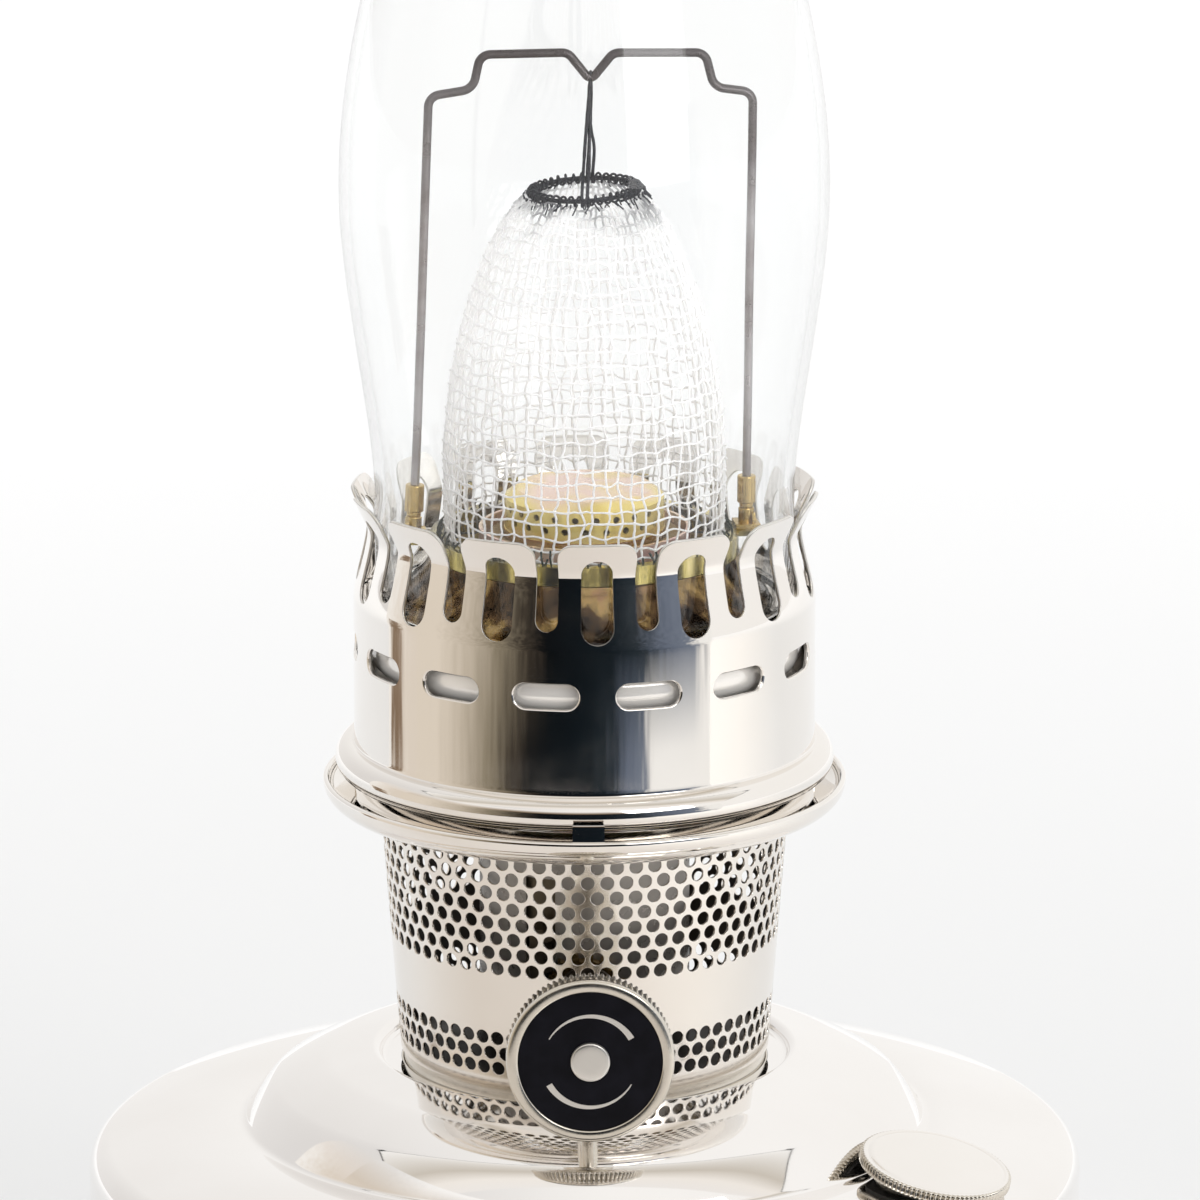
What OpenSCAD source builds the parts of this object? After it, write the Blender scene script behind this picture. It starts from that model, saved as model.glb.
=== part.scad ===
// Shelf oil lamp with a round wick, an incandescent mantle and a glass chimney.
// Units are millimetres. The origin is the middle of the font's foot, +Z is up,
// and the wick knob points towards -Y.

/* [Font] */
// Outer diameter of the font
font_od = 159.5; // [140:0.5:180]
// Height of the font's straight wall
wall_h = 65.8; // [55:0.2:80]
// Radius of the rounded edge above the wall
edge_r = 4.8; // [3:0.2:6]
// Rise of the shoulder from that edge to the hump
shoulder_rise = 3.3; // [2.6:0.1:4.5]
// Rise of the hump above the shoulder
hump_rise = 11.9; // [9:0.1:15]
// Width of the shoulder between the hump and the rounded edge
shoulder_w = 20.55; // [18:0.05:23]
// Thickness of the font's sheet metal
font_t = 1.0; // [0.8:0.1:1.4]

/* [Filler] */
// Distance of the filler's axis from the hump
filler_off = 9.9; // [9.6:0.1:11]
// Turn of the filler from +X towards the knob
filler_turn = 32; // [20:1:40]
// Outward lean of the filler
filler_lean = 13; // [10:1:15]
// Radius of the filler cap
cap_r = 12.2; // [11.5:0.1:12.6]
// Thickness of the cap's coin edge
cap_h = 1.9; // [1.6:0.1:3]

/* [Burner] */
// Radius of the basket at its foot
basket_foot_r = 29.5; // [28.5:0.1:31]
// Radius of the basket at its top
basket_top_r = 32.6; // [31:0.1:34]
// Height of the basket
basket_h = 39.3; // [36:0.1:44]
// Diameter of the air holes
hole_d = 2.1; // [1.6:0.1:2.4]
// Air holes in each upper row
upper_holes = 66; // [48:1:68]
// Air holes in each lower row
lower_holes = 70; // [48:1:72]
// Distance between rows of air holes
row_step = 2.53; // [2.4:0.01:2.7]
// Radius of the dish rim
dish_r = 41.8; // [41:0.1:44]
// Height of the dish
dish_h = 5.5; // [5:0.1:6.5]

/* [Wick] */
// Inside radius of the outer wick tube
tube_r = 16.2; // [15.8:0.1:16.6]
// Height of the wick tubes above the dish rim
tube_top = 41; // [38:0.5:43]
// Thickness of the wick
wick_t = 2.25; // [1.8:0.05:2.4]
// Teeth on the raiser pinion
pinion_teeth = 15; // [14:1:16]
// Tooth module of the raiser rack and pinion
tooth_module = 0.8; // [0.76:0.01:0.84]

/* [Knob] */
// Radius of the wick knob
knob_r = 13.15; // [11:0.05:15]
// Thickness of the wick knob
knob_h = 5.5; // [4.5:0.1:7]
// Distance of the knob face from the lamp's axis
knob_face = 58; // [54:0.5:64]
// Drop of the knob's axis below the dish rim
knob_drop = 30.9; // [30.4:0.1:31.4]

/* [Gallery] */
// Radius of the gallery wall
gallery_r = 36.8; // [36.4:0.1:37.4]
// Spring fingers round the gallery
fingers = 14; // [12:1:15]
// Turn of one finger from the knob's side
finger_turn = 2.4; // [0:0.1:12]
// Thickness of the gallery's sheet metal
gallery_t = 0.55; // [0.4:0.05:0.7]

/* [Chimney and mantle] */
// Radius of the chimney foot
chimney_foot_r = 33.35; // [33:0.05:33.6]
// Radius of the chimney bulge
chimney_bulge_r = 38.8; // [37:0.1:42]
// Radius of the chimney tube
chimney_tube_r = 25.5; // [22:0.1:28]
// Height of the chimney
chimney_h = 318; // [280:1:350]
// Thickness of the glass
glass_t = 1.6; // [1.3:0.1:2]
// Widest radius of the mantle
mantle_r = 22.6; // [21.8:0.1:22.8]
// Diameter of the mantle frame's wire
wire_d = 1.4; // [1.2:0.1:1.6]

/* [Hidden] */
$fn = 96;
// gap between pieces that move against each other
gap = 0.3;
font_r = font_od / 2;
hump_r = font_r - edge_r - shoulder_w;
hump_w = hump_r - basket_foot_r;
filler_at = hump_r + filler_off;
shoulder_z = wall_h + edge_r + shoulder_rise;
crest_z = shoulder_z + hump_rise;
ring_z = crest_z - 1.6;
base_t = 1.2;
foot_z = 2.4;
filler_sunk = 0.127;

base_plate_z = ring_z + 2;
collar_r = basket_foot_r - 0.5;
basket_t = 0.5;
rim_z = base_plate_z + basket_h + dish_h;
spindle_z = rim_z - knob_drop;
upper_rows = 8;
lower_rows = 3;
upper_row_z = rim_z - dish_h - 1.35;
lower_row_z = base_plate_z + 3.3;

tube_t = 0.6;
tube_z = base_plate_z - 2.2;
sleeve_r = tube_r - 0.35;
sleeve_t = 0.5;
wick_r = sleeve_r - sleeve_t;
wick_in = wick_r - wick_t;
inner_r = wick_in - gap;
duct_w = 7.6;
duct_low = base_plate_z + 1.8;
duct_high = duct_low + 8;
pitch_r = pinion_teeth * tooth_module / 2;
knob_swing = 60;
travel = pitch_r * knob_swing * PI / 180;
pinion_y = tube_r + tube_t + 0.6;
pinion_t = 2;
rack_x = pitch_r + 3;
rack_half = travel + 4;
spindle_r = 2;

bead_r = 2.7;
bead_at = gallery_r + 0.3;
seat_z = rim_z + 29;
seat_t = 0.8;
cone_top_r = mantle_r + 1.9;
cone_top_z = rim_z + 37;
ring_in_r = mantle_r - 0.2;
frame_turn = 5.5;
left_post = 27.2;
right_post = 26.0;
crown_z = rim_z + 95.4;
crown_r = 8.9;

// Points on an arc round c, and on a cubic curve.
function arc(c, r, a0, a1, n) = [for (k = [0:n]) c + r * [cos(a0 + (a1 - a0) * k / n), sin(a0 + (a1 - a0) * k / n)]];
function curve(a, b, c, d, n) = [for (k = [1:n]) let (t = k / n, s = 1 - t)
  s * s * s * a + 3 * s * s * t * b + 3 * s * t * t * c + t * t * t * d];

// A sheet of thickness t that lies on the inner side of the line p.
function side(p, i) = let (v = p[min(i + 1, len(p) - 1)] - p[max(i - 1, 0)]) [v[1], -v[0]] / norm(v);
function sheet(p, t) = concat(p, [for (i = [len(p) - 1:-1:0]) p[i] - t * side(p, i)]);

// A ring of rectangular section.
module ring(r0, r1, z0, z1) {
  rotate_extrude() translate([r0, z0]) square([r1 - r0, z1 - z0]);
}

// A disc whose edge is cut like a coin's.
module coin(r, h, teeth) {
  linear_extrude(h) polygon([for (k = [0:2 * teeth - 1]) let (q = r - 0.45 * (k % 2)) q * [cos(180 * k / teeth), sin(180 * k / teeth)]]);
}

// Round wire through a list of points, with a ball at each corner.
module wire(points, d) {
  for (k = [0:len(points) - 2]) let (v = points[k + 1] - points[k])
    translate(points[k]) rotate([0, acos(v[2] / norm(v)), atan2(v[1], v[0])]) cylinder(d = d, h = norm(v), $fn = 24);
  for (k = [1:len(points) - 2]) translate(points[k]) sphere(d = d + 0.06, $fn = 24);
}

// Flat bent wire in the XZ plane: p holds [x, z, bend radius] for each corner and end.
function flat(q) = [q[0], q[1]];
function way(p, i) = let (v = flat(p[i + 1]) - flat(p[i])) v / norm(v);
function bend(p, i) = i < 1 || i > len(p) - 2 ? 0 : acos(way(p, i - 1) * way(p, i));
function trim(p, i) = bend(p, i) == 0 ? 0 : p[i][2] * tan(bend(p, i) / 2);

module bent_wire(p, d) {
  rotate([90, 0, 0]) {
    for (i = [0:len(p) - 2]) let (u = way(p, i), a = flat(p[i]) + u * trim(p, i), b = flat(p[i + 1]) - u * trim(p, i + 1))
      translate([a[0], a[1], 0]) rotate([0, 0, atan2(u[1], u[0])]) rotate([0, 90, 0]) translate([0, 0, -0.02]) cylinder(d = d, h = norm(b - a) + 0.04);
    for (i = [1:len(p) - 2]) let (u = way(p, i - 1), v = way(p, i), left = u[0] * v[1] > u[1] * v[0] ? 1 : -1,
        a = flat(p[i]) - u * trim(p, i), c = a + left * p[i][2] * [-u[1], u[0]])
      translate([c[0], c[1], 0]) rotate([0, 0, atan2(a[1] - c[1], a[0] - c[0]) - (left > 0 ? 0 : bend(p, i))])
        rotate_extrude(angle = bend(p, i)) translate([p[i][2], 0]) circle(d = d - 0.02);
  }
}

// Places a shape drawn in the XZ plane on the -Y side, running out from radius r.
module facing(turn, r, depth) {
  rotate([0, 0, turn]) translate([0, -r, 0]) rotate([90, 0, 0]) linear_extrude(depth) children();
}

module at_filler() {
  rotate([0, 0, -filler_turn]) translate([filler_at, 0, filler_z]) rotate([0, filler_lean, 0]) children();
}

module at_knob(y) {
  translate([0, -y, spindle_z]) rotate([90, 0, 0]) children();
}

// The font's outer line, from the foot up to the burner opening.
edge_turn = 76;
edge_c = [font_r - edge_r, wall_h];
edge_end = edge_c + edge_r * [cos(edge_turn), sin(edge_turn)];
shoulder_line = curve(edge_end, [hump_r + 0.774 * shoulder_w, shoulder_z - 1.6], [hump_r + 0.37 * shoulder_w, shoulder_z + 0.3],
  [hump_r + 0.9, shoulder_z], 14);
font_line = concat(
  [[font_r, 0]],
  arc(edge_c, edge_r, 0, edge_turn, 14),
  shoulder_line,
  [[hump_r + 0.35, shoulder_z + 0.1], [hump_r + 0.03, shoulder_z + 0.35], [hump_r - 0.1, shoulder_z + 0.6]],
  curve([hump_r - 0.1, shoulder_z + 0.6], [hump_r - 1, shoulder_z + 2.1], [basket_foot_r + 0.663 * hump_w, crest_z],
    [basket_foot_r + 0.341 * hump_w, crest_z], 18),
  curve([basket_foot_r + 0.341 * hump_w, crest_z], [basket_foot_r + 6.5, crest_z], [basket_foot_r + 5.1, crest_z - 0.3],
    [basket_foot_r + 4.5, crest_z - 0.8], 8),
  curve([basket_foot_r + 4.5, crest_z - 0.8], [basket_foot_r + 4.1, crest_z - 1.2], [basket_foot_r + 3.8, ring_z],
    [basket_foot_r + 3, ring_z], 6),
  [[collar_r, ring_z]]);
// The filler stands on the shoulder, a little below its surface there.
filler_z = lookup(filler_at, shoulder_line) - filler_sunk;

module font_shell() {
  color("silver") difference() {
    rotate_extrude() polygon(sheet(font_line, font_t));
    at_filler() translate([0, 0, -6]) cylinder(r = 9.2, h = 12);
  }
}

module font_base() {
  color("silver") {
    ring(0, font_r - font_t, foot_z, foot_z + base_t);
    ring(font_r - 6, font_r - font_t, 0, foot_z);
  }
}

module font_collar() {
  color("silver") {
    ring(collar_r - 2, collar_r, ring_z - 5, base_plate_z);
    ring(collar_r - 2, collar_r + 2.5, ring_z - font_t - 1.2, ring_z - font_t);
  }
}

module filler_neck() {
  color("silver") at_filler() ring(7.8, 9.2, -8, 0.6);
}

module filler_cap() {
  color("silver") at_filler() {
    translate([0, 0, 1.2]) coin(cap_r, cap_h, 72);
    translate([0, 0, 1.2 + cap_h]) cylinder(r1 = cap_r - 0.9, r2 = cap_r - 1.6, h = 0.3);
    ring(6.3, 7.5, -4.8, 1.2);
  }
}

module cap_gasket() {
  color("dimgray") at_filler() ring(7.8, 10.8, 0.6, 1.2);
}

// Burner, fixed to the font.
module rack_way(high) {
  translate([-rack_x - 0.5, -22, ring_z - 30]) cube([rack_x - pitch_r + tooth_module + 0.8, 12, high - ring_z + 30]);
}

module duct_box(y0, y1, w, low, high) {
  translate([-w / 2, y0, low]) cube([w, y1 - y0, high - low]);
}

module burner_base() {
  color("silver") difference() {
    union() {
      ring(tube_r + tube_t, collar_r, base_plate_z, base_plate_z + base_t);
      ring(collar_r - 3.6, collar_r - 2.3, ring_z - 5, base_plate_z);
    }
    rack_way(base_plate_z + 5);
  }
}

// Stagger alternates from row to row; each cutter only crosses its own side of the wall.
module air_row(count, z, row) {
  r = basket_foot_r + (basket_top_r - basket_foot_r) * (z - base_plate_z) / basket_h;
  for (k = [0:count - 1]) rotate([0, 0, 360 * (k + (row % 2) / 2) / count])
    translate([r - 1.5, 0, z]) rotate([0, 90, 0]) rotate([0, 0, 37]) cylinder(d = hole_d, h = 3);
}

// The wall is rolled from punched sheet, with one flat for each hole of the upper rows.
function sides(r) = [for (k = [0:upper_holes - 1]) r * [cos(360 * (k + 0.5) / upper_holes), sin(360 * (k + 0.5) / upper_holes)]];

module burner_basket() {
  color("silver") difference() {
    translate([0, 0, base_plate_z]) linear_extrude(basket_h, scale = basket_top_r / basket_foot_r) difference() {
      polygon(sides(basket_foot_r));
      polygon(sides(basket_foot_r - basket_t));
    }
    for (row = [0:upper_rows - 1]) air_row(upper_holes, upper_row_z - row * row_step, row);
    for (row = [0:lower_rows - 1]) air_row(lower_holes, lower_row_z + row * row_step, row);
    at_knob(20) cylinder(r = 3.8, h = 20);
  }
}

dish_line = concat([[basket_top_r - 1.6, rim_z - dish_h]],
  curve([basket_top_r - 0.2, rim_z - dish_h], [basket_top_r + 5, rim_z - dish_h + 0.3], [dish_r - 0.2, rim_z - dish_h + 1.4],
    [dish_r, rim_z - 0.6], 16));

module burner_dish() {
  color("silver") {
    rotate_extrude() polygon(sheet(dish_line, 0.7));
    rotate_extrude() translate([dish_r - 0.45, rim_z - 0.5]) circle(r = 0.5, $fn = 32);
    for (k = [0:2]) intersection() {
      ring(dish_r - 1.5, dish_r - 0.6, rim_z - 2.4, rim_z + 2.6);
      facing(120 * k, dish_r - 4, 8) translate([-2.5, rim_z - 3]) square([5, 7]);
    }
  }
}

module outer_wick_tube() {
  color("goldenrod") difference() {
    ring(tube_r, tube_r + tube_t, tube_z, rim_z + tube_top);
    rack_way(spindle_z + rack_half + travel + 1);
    duct_box(-20, 20, duct_w, duct_low, duct_high);
  }
}

module inner_wick_tube() {
  color("goldenrod") difference() {
    union() {
      ring(inner_r - tube_t, inner_r, duct_low - 1.2, rim_z + tube_top);
      ring(0, inner_r, duct_low - 2, duct_low - 1.2);
    }
    duct_box(-20, 20, duct_w, duct_low, duct_high);
  }
}

module duct(side_y) {
  color("goldenrod") difference() {
    duct_box(side_y > 0 ? inner_r - 0.4 : -tube_r - tube_t - 0.2, side_y > 0 ? tube_r + tube_t + 0.2 : 0.4 - inner_r,
      duct_w, duct_low, duct_high);
    duct_box(-30, 30, duct_w - 1.2, duct_low + 0.6, duct_high - 0.6);
  }
}

module front_duct() {
  duct(-1);
}

module back_duct() {
  duct(1);
}

module flame_spreader() {
  top = rim_z + tube_top;
  color("darkgoldenrod") difference() {
    rotate_extrude() polygon([[inner_r - tube_t - 0.5, top - 11], [inner_r - tube_t, top - 11], [inner_r - tube_t, top],
      [inner_r - 0.1, top], [inner_r - 0.1, top + 5], [inner_r - 2, top + 6.4], [0, top + 6.8], [0, top + 6.3],
      [inner_r - 2.2, top + 5.9], [inner_r - 0.6, top + 4.8], [inner_r - 0.6, top + 0.5], [inner_r - tube_t - 0.5, top + 0.5]]);
    for (row = [0:1]) for (k = [0:23]) rotate([0, 0, 15 * (k + row / 2)])
      translate([inner_r - 3, 0, top + 1.8 + 1.9 * row]) rotate([0, 90, 0]) cylinder(d = 1.1, h = 4, $fn = 24);
  }
}

// Pieces that the knob raises.
module wick() {
  color("ivory") difference() {
    ring(wick_in, wick_r, 16, rim_z + tube_top - 1);
    duct_box(-20, 20, duct_w + 1.6, 0, duct_high + travel + 2);
  }
}

// Rack teeth point towards the lamp's middle plane, with a space at the spindle's height.
module rack_shape() {
  pitch = PI * tooth_module;
  count = floor(rack_half / pitch);
  tip = -pitch_r + 0.75 * tooth_module;
  root = -pitch_r - 1.1 * tooth_module;
  translate([-rack_x, -rack_half]) square([rack_x + root, 2 * rack_half]);
  for (k = [-count:count - 1]) let (mid = (k + 0.5) * pitch)
    polygon([[root - 0.1, mid - 0.88], [tip, mid - 0.28], [tip, mid + 0.28], [root - 0.1, mid + 0.88]]);
}

module wick_carrier() {
  color("goldenrod") difference() {
    union() {
      ring(wick_r, wick_r + sleeve_t, duct_high + travel + 3, spindle_z + rack_half + 14);
      translate([0, -13, spindle_z]) rotate([90, 0, 0]) linear_extrude(pinion_y + pinion_t - 13) rack_shape();
    }
    translate([0, 0, ring_z - 10]) cylinder(r = wick_r, h = 100);
  }
}

module raiser_spindle() {
  color("silver") at_knob(pinion_y) cylinder(r = spindle_r, h = knob_face - pinion_y - 2);
}

function inv(r, rb) = let (a = acos(min(1, rb / r))) tan(a) - a * PI / 180;
function flank(r, rb) = 90 / pinion_teeth - 0.14 / pitch_r * 180 / PI + (inv(pitch_r, rb) - inv(max(r, rb), rb)) * 180 / PI;
function tooth(mid) = let (rb = pitch_r * cos(20), rr = [pitch_r - 1.15 * tooth_module, rb, pitch_r, pitch_r + 0.75 * tooth_module])
  concat([for (r = rr) r * [cos(mid - flank(r, rb)), sin(mid - flank(r, rb))]],
    [for (k = [3:-1:0]) rr[k] * [cos(mid + flank(rr[k], rb)), sin(mid + flank(rr[k], rb))]]);

module raiser_pinion() {
  color("goldenrod") at_knob(pinion_y) difference() {
    linear_extrude(pinion_t) polygon([for (k = [0:pinion_teeth - 1]) each tooth(180 + 360 * k / pinion_teeth)]);
    translate([0, 0, -1]) cylinder(r = spindle_r, h = pinion_t + 2);
  }
}

wall_at_spindle = basket_foot_r + (basket_top_r - basket_foot_r) * (spindle_z - base_plate_z) / basket_h;

module spindle_bush() {
  color("silver") at_knob(0) difference() {
    union() {
      translate([0, 0, wall_at_spindle - 3]) cylinder(r = 3.8, h = 7);
      translate([0, 0, wall_at_spindle + 0.4]) cylinder(r = 5.4, h = 1.4);
    }
    cylinder(r = spindle_r + gap, h = 60);
  }
}

module spindle_bracket() {
  y = pinion_y + pinion_t + 2.4;
  color("goldenrod") difference() {
    union() {
      translate([-5, -y - 1.2, base_plate_z + base_t]) cube([10, 1.2, spindle_z - base_plate_z - base_t]);
      at_knob(y) cylinder(r = 5, h = 1.2);
    }
    at_knob(y - 1) cylinder(r = spindle_r + gap, h = 4);
  }
}

module knob() {
  color("silver") difference() {
    union() {
      at_knob(knob_face - knob_h) translate([0, 0, 0.5]) coin(knob_r, knob_h - 1, 84);
      at_knob(knob_face - knob_h) cylinder(r1 = knob_r - 1.1, r2 = knob_r - 0.6, h = 0.5);
      at_knob(knob_face - 0.5) cylinder(r1 = knob_r - 0.6, r2 = knob_r - 1.1, h = 0.5);
      at_knob(knob_face - knob_h - 4) cylinder(r = 5.5, h = 4);
    }
    at_knob(knob_face - 1) cylinder(r = knob_r - 1.9, h = 2);
    at_knob(0) cylinder(r = spindle_r, h = knob_face - 2);
  }
}

module knob_inlay() {
  color("black") at_knob(knob_face - 1) cylinder(r = knob_r - 1.9, h = 0.7);
}

module knob_stud() {
  color("silver") at_knob(knob_face - 0.3) {
    cylinder(r = 3.1, h = 0.5);
    translate([0, 0, 0.5]) cylinder(r1 = 3.1, r2 = 2.5, h = 0.3);
  }
}

// Gallery with its spring fingers.
gallery_line = concat([[gallery_r, rim_z - 2.9], [gallery_r, rim_z + 0.3]],
  arc([bead_at, rim_z + 3.2], bead_r, -80, 95, 12),
  [[gallery_r, rim_z + 6.6], [gallery_r, rim_z + 32.6]],
  curve([gallery_r, rim_z + 32.6], [gallery_r, rim_z + 36.5], [gallery_r - 2.2, rim_z + 37.4], [gallery_r - 2.2, rim_z + 40.8], 6),
  curve([gallery_r - 2.2, rim_z + 40.8], [gallery_r - 2.2, rim_z + 41.3], [gallery_r - 2, rim_z + 41.7],
    [gallery_r - 1.8, rim_z + 42.1], 3),
  [[gallery_r + 0.4, rim_z + 46.6]]);

module obround(w, low, high) {
  translate([-w / 2, low + w / 2]) square([w, high - low - w]);
  translate([0, low + w / 2]) circle(d = w, $fn = 48);
  translate([0, high - w / 2]) circle(d = w, $fn = 48);
}

module finger_gap(w, low, high, round_r) {
  translate([-w / 2, low + w / 2]) square([w, high - low]);
  translate([0, low + w / 2]) circle(d = w, $fn = 48);
  difference() {
    translate([-w / 2 - round_r, high - round_r]) square([w + 2 * round_r, round_r + 3]);
    for (s = [-1, 1]) translate([s * (w / 2 + round_r), high - round_r]) circle(r = round_r, $fn = 48);
  }
}

module gallery() {
  step = 360 / fingers;
  color("silver") difference() {
    rotate_extrude() polygon(sheet(gallery_line, gallery_t));
    for (k = [0:fingers - 1]) {
      facing(finger_turn + step * k, gallery_r - 6, 12) obround(5.3, rim_z + 30.5, rim_z + 43.9);
      facing(finger_turn + step * (k + 0.5), gallery_r - 6, 12) finger_gap(3.7, rim_z + 32.5, rim_z + 46.9, 2.6);
      facing(finger_turn + step * (k + 0.5), gallery_r - 6, 12) translate([0, rim_z + 22.1]) rotate(90) obround(4.5, -5.5, 5.5);
    }
  }
}

module gallery_cone() {
  z = rim_z;
  line = concat([[gallery_r - gallery_t, z + 10], [gallery_r - gallery_t - 0.6, z + 11.6]],
    curve([gallery_r - gallery_t - 0.6, z + 11.6], [gallery_r - 2, z + 14.6], [gallery_r - 4, z + 17], [gallery_r - 3.9, z + 18.6], 6),
    curve([gallery_r - 3.9, z + 18.6], [gallery_r - 1.5, z + 19.4], [gallery_r - 1.5, z + 24.6], [gallery_r - 4.6, z + 25.4], 10),
    curve([gallery_r - 4.6, z + 25.4], [gallery_r - 6.2, z + 25.8], [gallery_r - 6.8, z + 26.6], [gallery_r - 6.9, seat_z - seat_t], 6),
    curve([gallery_r - 6.9, seat_z - seat_t], [gallery_r - 7.2, seat_z + 3], [cone_top_r + 1.2, cone_top_z - 4], [cone_top_r, cone_top_z], 10));
  color("silver") rotate_extrude() polygon(sheet(line, 0.6));
}

module chimney_seat() {
  color("silver") {
    ring(gallery_r - 6.9, gallery_r - gallery_t - 0.05, seat_z - seat_t, seat_z);
    ring(gallery_r - gallery_t - 0.7, gallery_r - gallery_t - 0.05, seat_z - 3, seat_z - seat_t);
  }
}

// Mantle and its holder.
module mantle_ring() {
  color("olive") {
    ring(ring_in_r, cone_top_r, cone_top_z, cone_top_z + 3);
    rotate([0, 0, frame_turn]) difference() {
      translate([-left_post - 2, -3.5, cone_top_z + 2.2]) cube([left_post + right_post + 4, 7, 0.8]);
      cylinder(r = cone_top_r - 0.5, h = 400);
    }
  }
}

// The frame's line across its own plane: [distance, height, bend radius].
post_z = cone_top_z + 5;
frame_line = [[-left_post, post_z, 0], [-24.6, rim_z + 111, 2], [-17.6, rim_z + 112, 2.5], [-16.4, rim_z + 117.5, 2],
  [-2.6, rim_z + 117.5, 2], [1, rim_z + 112.9, 0.9], [4.6, rim_z + 117.3, 2], [19.2, rim_z + 117, 2], [20.6, rim_z + 111.4, 2.5],
  [26.8, rim_z + 110.5, 2], [right_post, post_z, 0]];

// A clip stands on the mantle ring and leans with the post that it holds.
module clip(at, lean) {
  rotate([0, 0, frame_turn]) difference() {
    union() {
      translate([at, 0, post_z]) rotate([0, lean, 0]) translate([0, 0, -1.2]) cylinder(r = 1.5, h = 7.6, $fn = 32);
      translate([at - 2, -2.6, cone_top_z + 3]) cube([4, 5.2, 1.6]);
    }
    translate([at, 0, post_z]) rotate([0, lean, 0]) cylinder(d = wire_d, h = 10);
  }
}

module left_clip() {
  color("gold") clip(-left_post, 90 - atan2(way(frame_line, 0)[1], way(frame_line, 0)[0]));
}

module right_clip() {
  color("gold") clip(right_post, atan2(-way(frame_line, 9)[1], -way(frame_line, 9)[0]) - 90);
}

module mantle_frame() {
  color("gray") rotate([0, 0, frame_turn]) bent_wire(frame_line, wire_d);
}

module mantle_hanger() {
  top = [1, 0.1, rim_z + 113.4 - wire_d / 2 - 0.3];
  color("dimgray") wire([[-0.3, -crown_r, crown_z + 0.5], [0.2, -5, crown_z + 6.5], top, [0.9, 5, crown_z + 6.5],
    [0.6, crown_r, crown_z + 0.5]], 0.7);
}

module crown_shape() {
  rotate_extrude() translate([crown_r, crown_z]) circle(r = 0.9, $fn = 32);
}

module mantle_crown() {
  color("dimgray") difference() {
    crown_shape();
    mantle_hanger();
  }
}

module mantle() {
  z = rim_z;
  s = mantle_r / 22.6;
  line = concat([[ring_in_r, z + 37.2], [ring_in_r, z + 40]],
    curve([ring_in_r, z + 40], [mantle_r + 0.2, z + 46], [mantle_r, z + 54], [22 * s, z + 60], 8),
    curve([22 * s, z + 60], [21.2 * s, z + 70], [17.6 * s, z + 82], [crown_r + 1.2, crown_z - 0.6], 14));
  color("white") difference() {
    rotate_extrude() polygon(sheet(line, 0.7));
    crown_shape();
  }
}

module chimney() {
  z = seat_z;
  line = concat([[chimney_foot_r, z], [chimney_foot_r, z + 17]],
    curve([chimney_foot_r, z + 17], [chimney_foot_r, z + 29], [chimney_bulge_r, z + 51], [chimney_bulge_r, z + 66], 14),
    curve([chimney_bulge_r, z + 66], [chimney_bulge_r + 0.3, z + 98], [chimney_tube_r, z + 122], [chimney_tube_r, z + 146], 18),
    [[chimney_tube_r, z + chimney_h]]);
  color([0.8, 0.9, 1, 0.35]) rotate_extrude() polygon(sheet(line, glass_t));
}

font_shell();
font_base();
font_collar();
filler_neck();
filler_cap();
cap_gasket();
burner_base();
burner_basket();
burner_dish();
outer_wick_tube();
inner_wick_tube();
front_duct();
back_duct();
flame_spreader();
wick();
wick_carrier();
raiser_spindle();
raiser_pinion();
spindle_bush();
spindle_bracket();
knob();
knob_inlay();
knob_stud();
gallery();
gallery_cone();
chimney_seat();
mantle_ring();
left_clip();
right_clip();
mantle_frame();
mantle_hanger();
mantle_crown();
mantle();
chimney();
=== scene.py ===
"""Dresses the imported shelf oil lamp: detailed meshes, materials, light and camera."""

import math
import random

import bmesh
import bpy
import numpy as np
from mathutils import Matrix, Vector, geometry, noise


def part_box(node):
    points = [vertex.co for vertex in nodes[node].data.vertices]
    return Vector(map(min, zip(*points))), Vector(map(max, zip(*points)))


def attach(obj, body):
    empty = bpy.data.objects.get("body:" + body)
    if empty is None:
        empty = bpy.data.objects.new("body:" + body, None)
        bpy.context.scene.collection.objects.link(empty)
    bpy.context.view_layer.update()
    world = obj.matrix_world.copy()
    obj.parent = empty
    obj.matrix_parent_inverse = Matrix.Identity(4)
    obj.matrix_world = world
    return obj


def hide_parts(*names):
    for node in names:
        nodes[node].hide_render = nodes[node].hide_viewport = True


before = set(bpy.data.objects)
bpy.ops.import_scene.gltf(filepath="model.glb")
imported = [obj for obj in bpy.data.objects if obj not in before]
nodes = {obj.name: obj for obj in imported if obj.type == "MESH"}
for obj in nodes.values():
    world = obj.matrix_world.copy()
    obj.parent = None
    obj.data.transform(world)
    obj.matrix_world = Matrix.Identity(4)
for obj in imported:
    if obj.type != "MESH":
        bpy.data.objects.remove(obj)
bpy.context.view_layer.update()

MM = 0.001
TAU = 2 * math.pi


def reach(node, axis, side=1):
    """How far a CAD node reaches up an axis in millimetres, or down it with side 0."""
    return round(getattr(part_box(node)[side], axis) / MM, 2)


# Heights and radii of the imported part, in millimetres.
FONT_R = reach("font_shell", "x")
CREST = reach("font_shell", "z")
SHOULDER = CREST - 11.9
RING = CREST - 1.6
BASE_PLATE = reach("burner_basket", "z", 0)
BASKET_TOP = reach("burner_basket", "z")
BASKET_H = BASKET_TOP - BASE_PLATE
RIM = BASKET_TOP + 5.5
SPINDLE = RIM - 30.9
FOOT_R = 29.5
COLLAR_R = FOOT_R - 0.5
TOP_R = 32.6
DISH_R = 41.8
GALLERY_R = 36.8
GALLERY_T = 0.55
FINGERS = 14
FINGER_TURN = math.radians(2.4)
FINGER_LOW = RIM + 10
FINGER_TOP = RIM + 46.6
SLOT_Z = RIM + 22.1
TUBE_TOP = reach("outer_wick_tube", "z")
SEAT = reach("chimney", "z", 0)
CONE_TOP = RIM + 37
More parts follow.
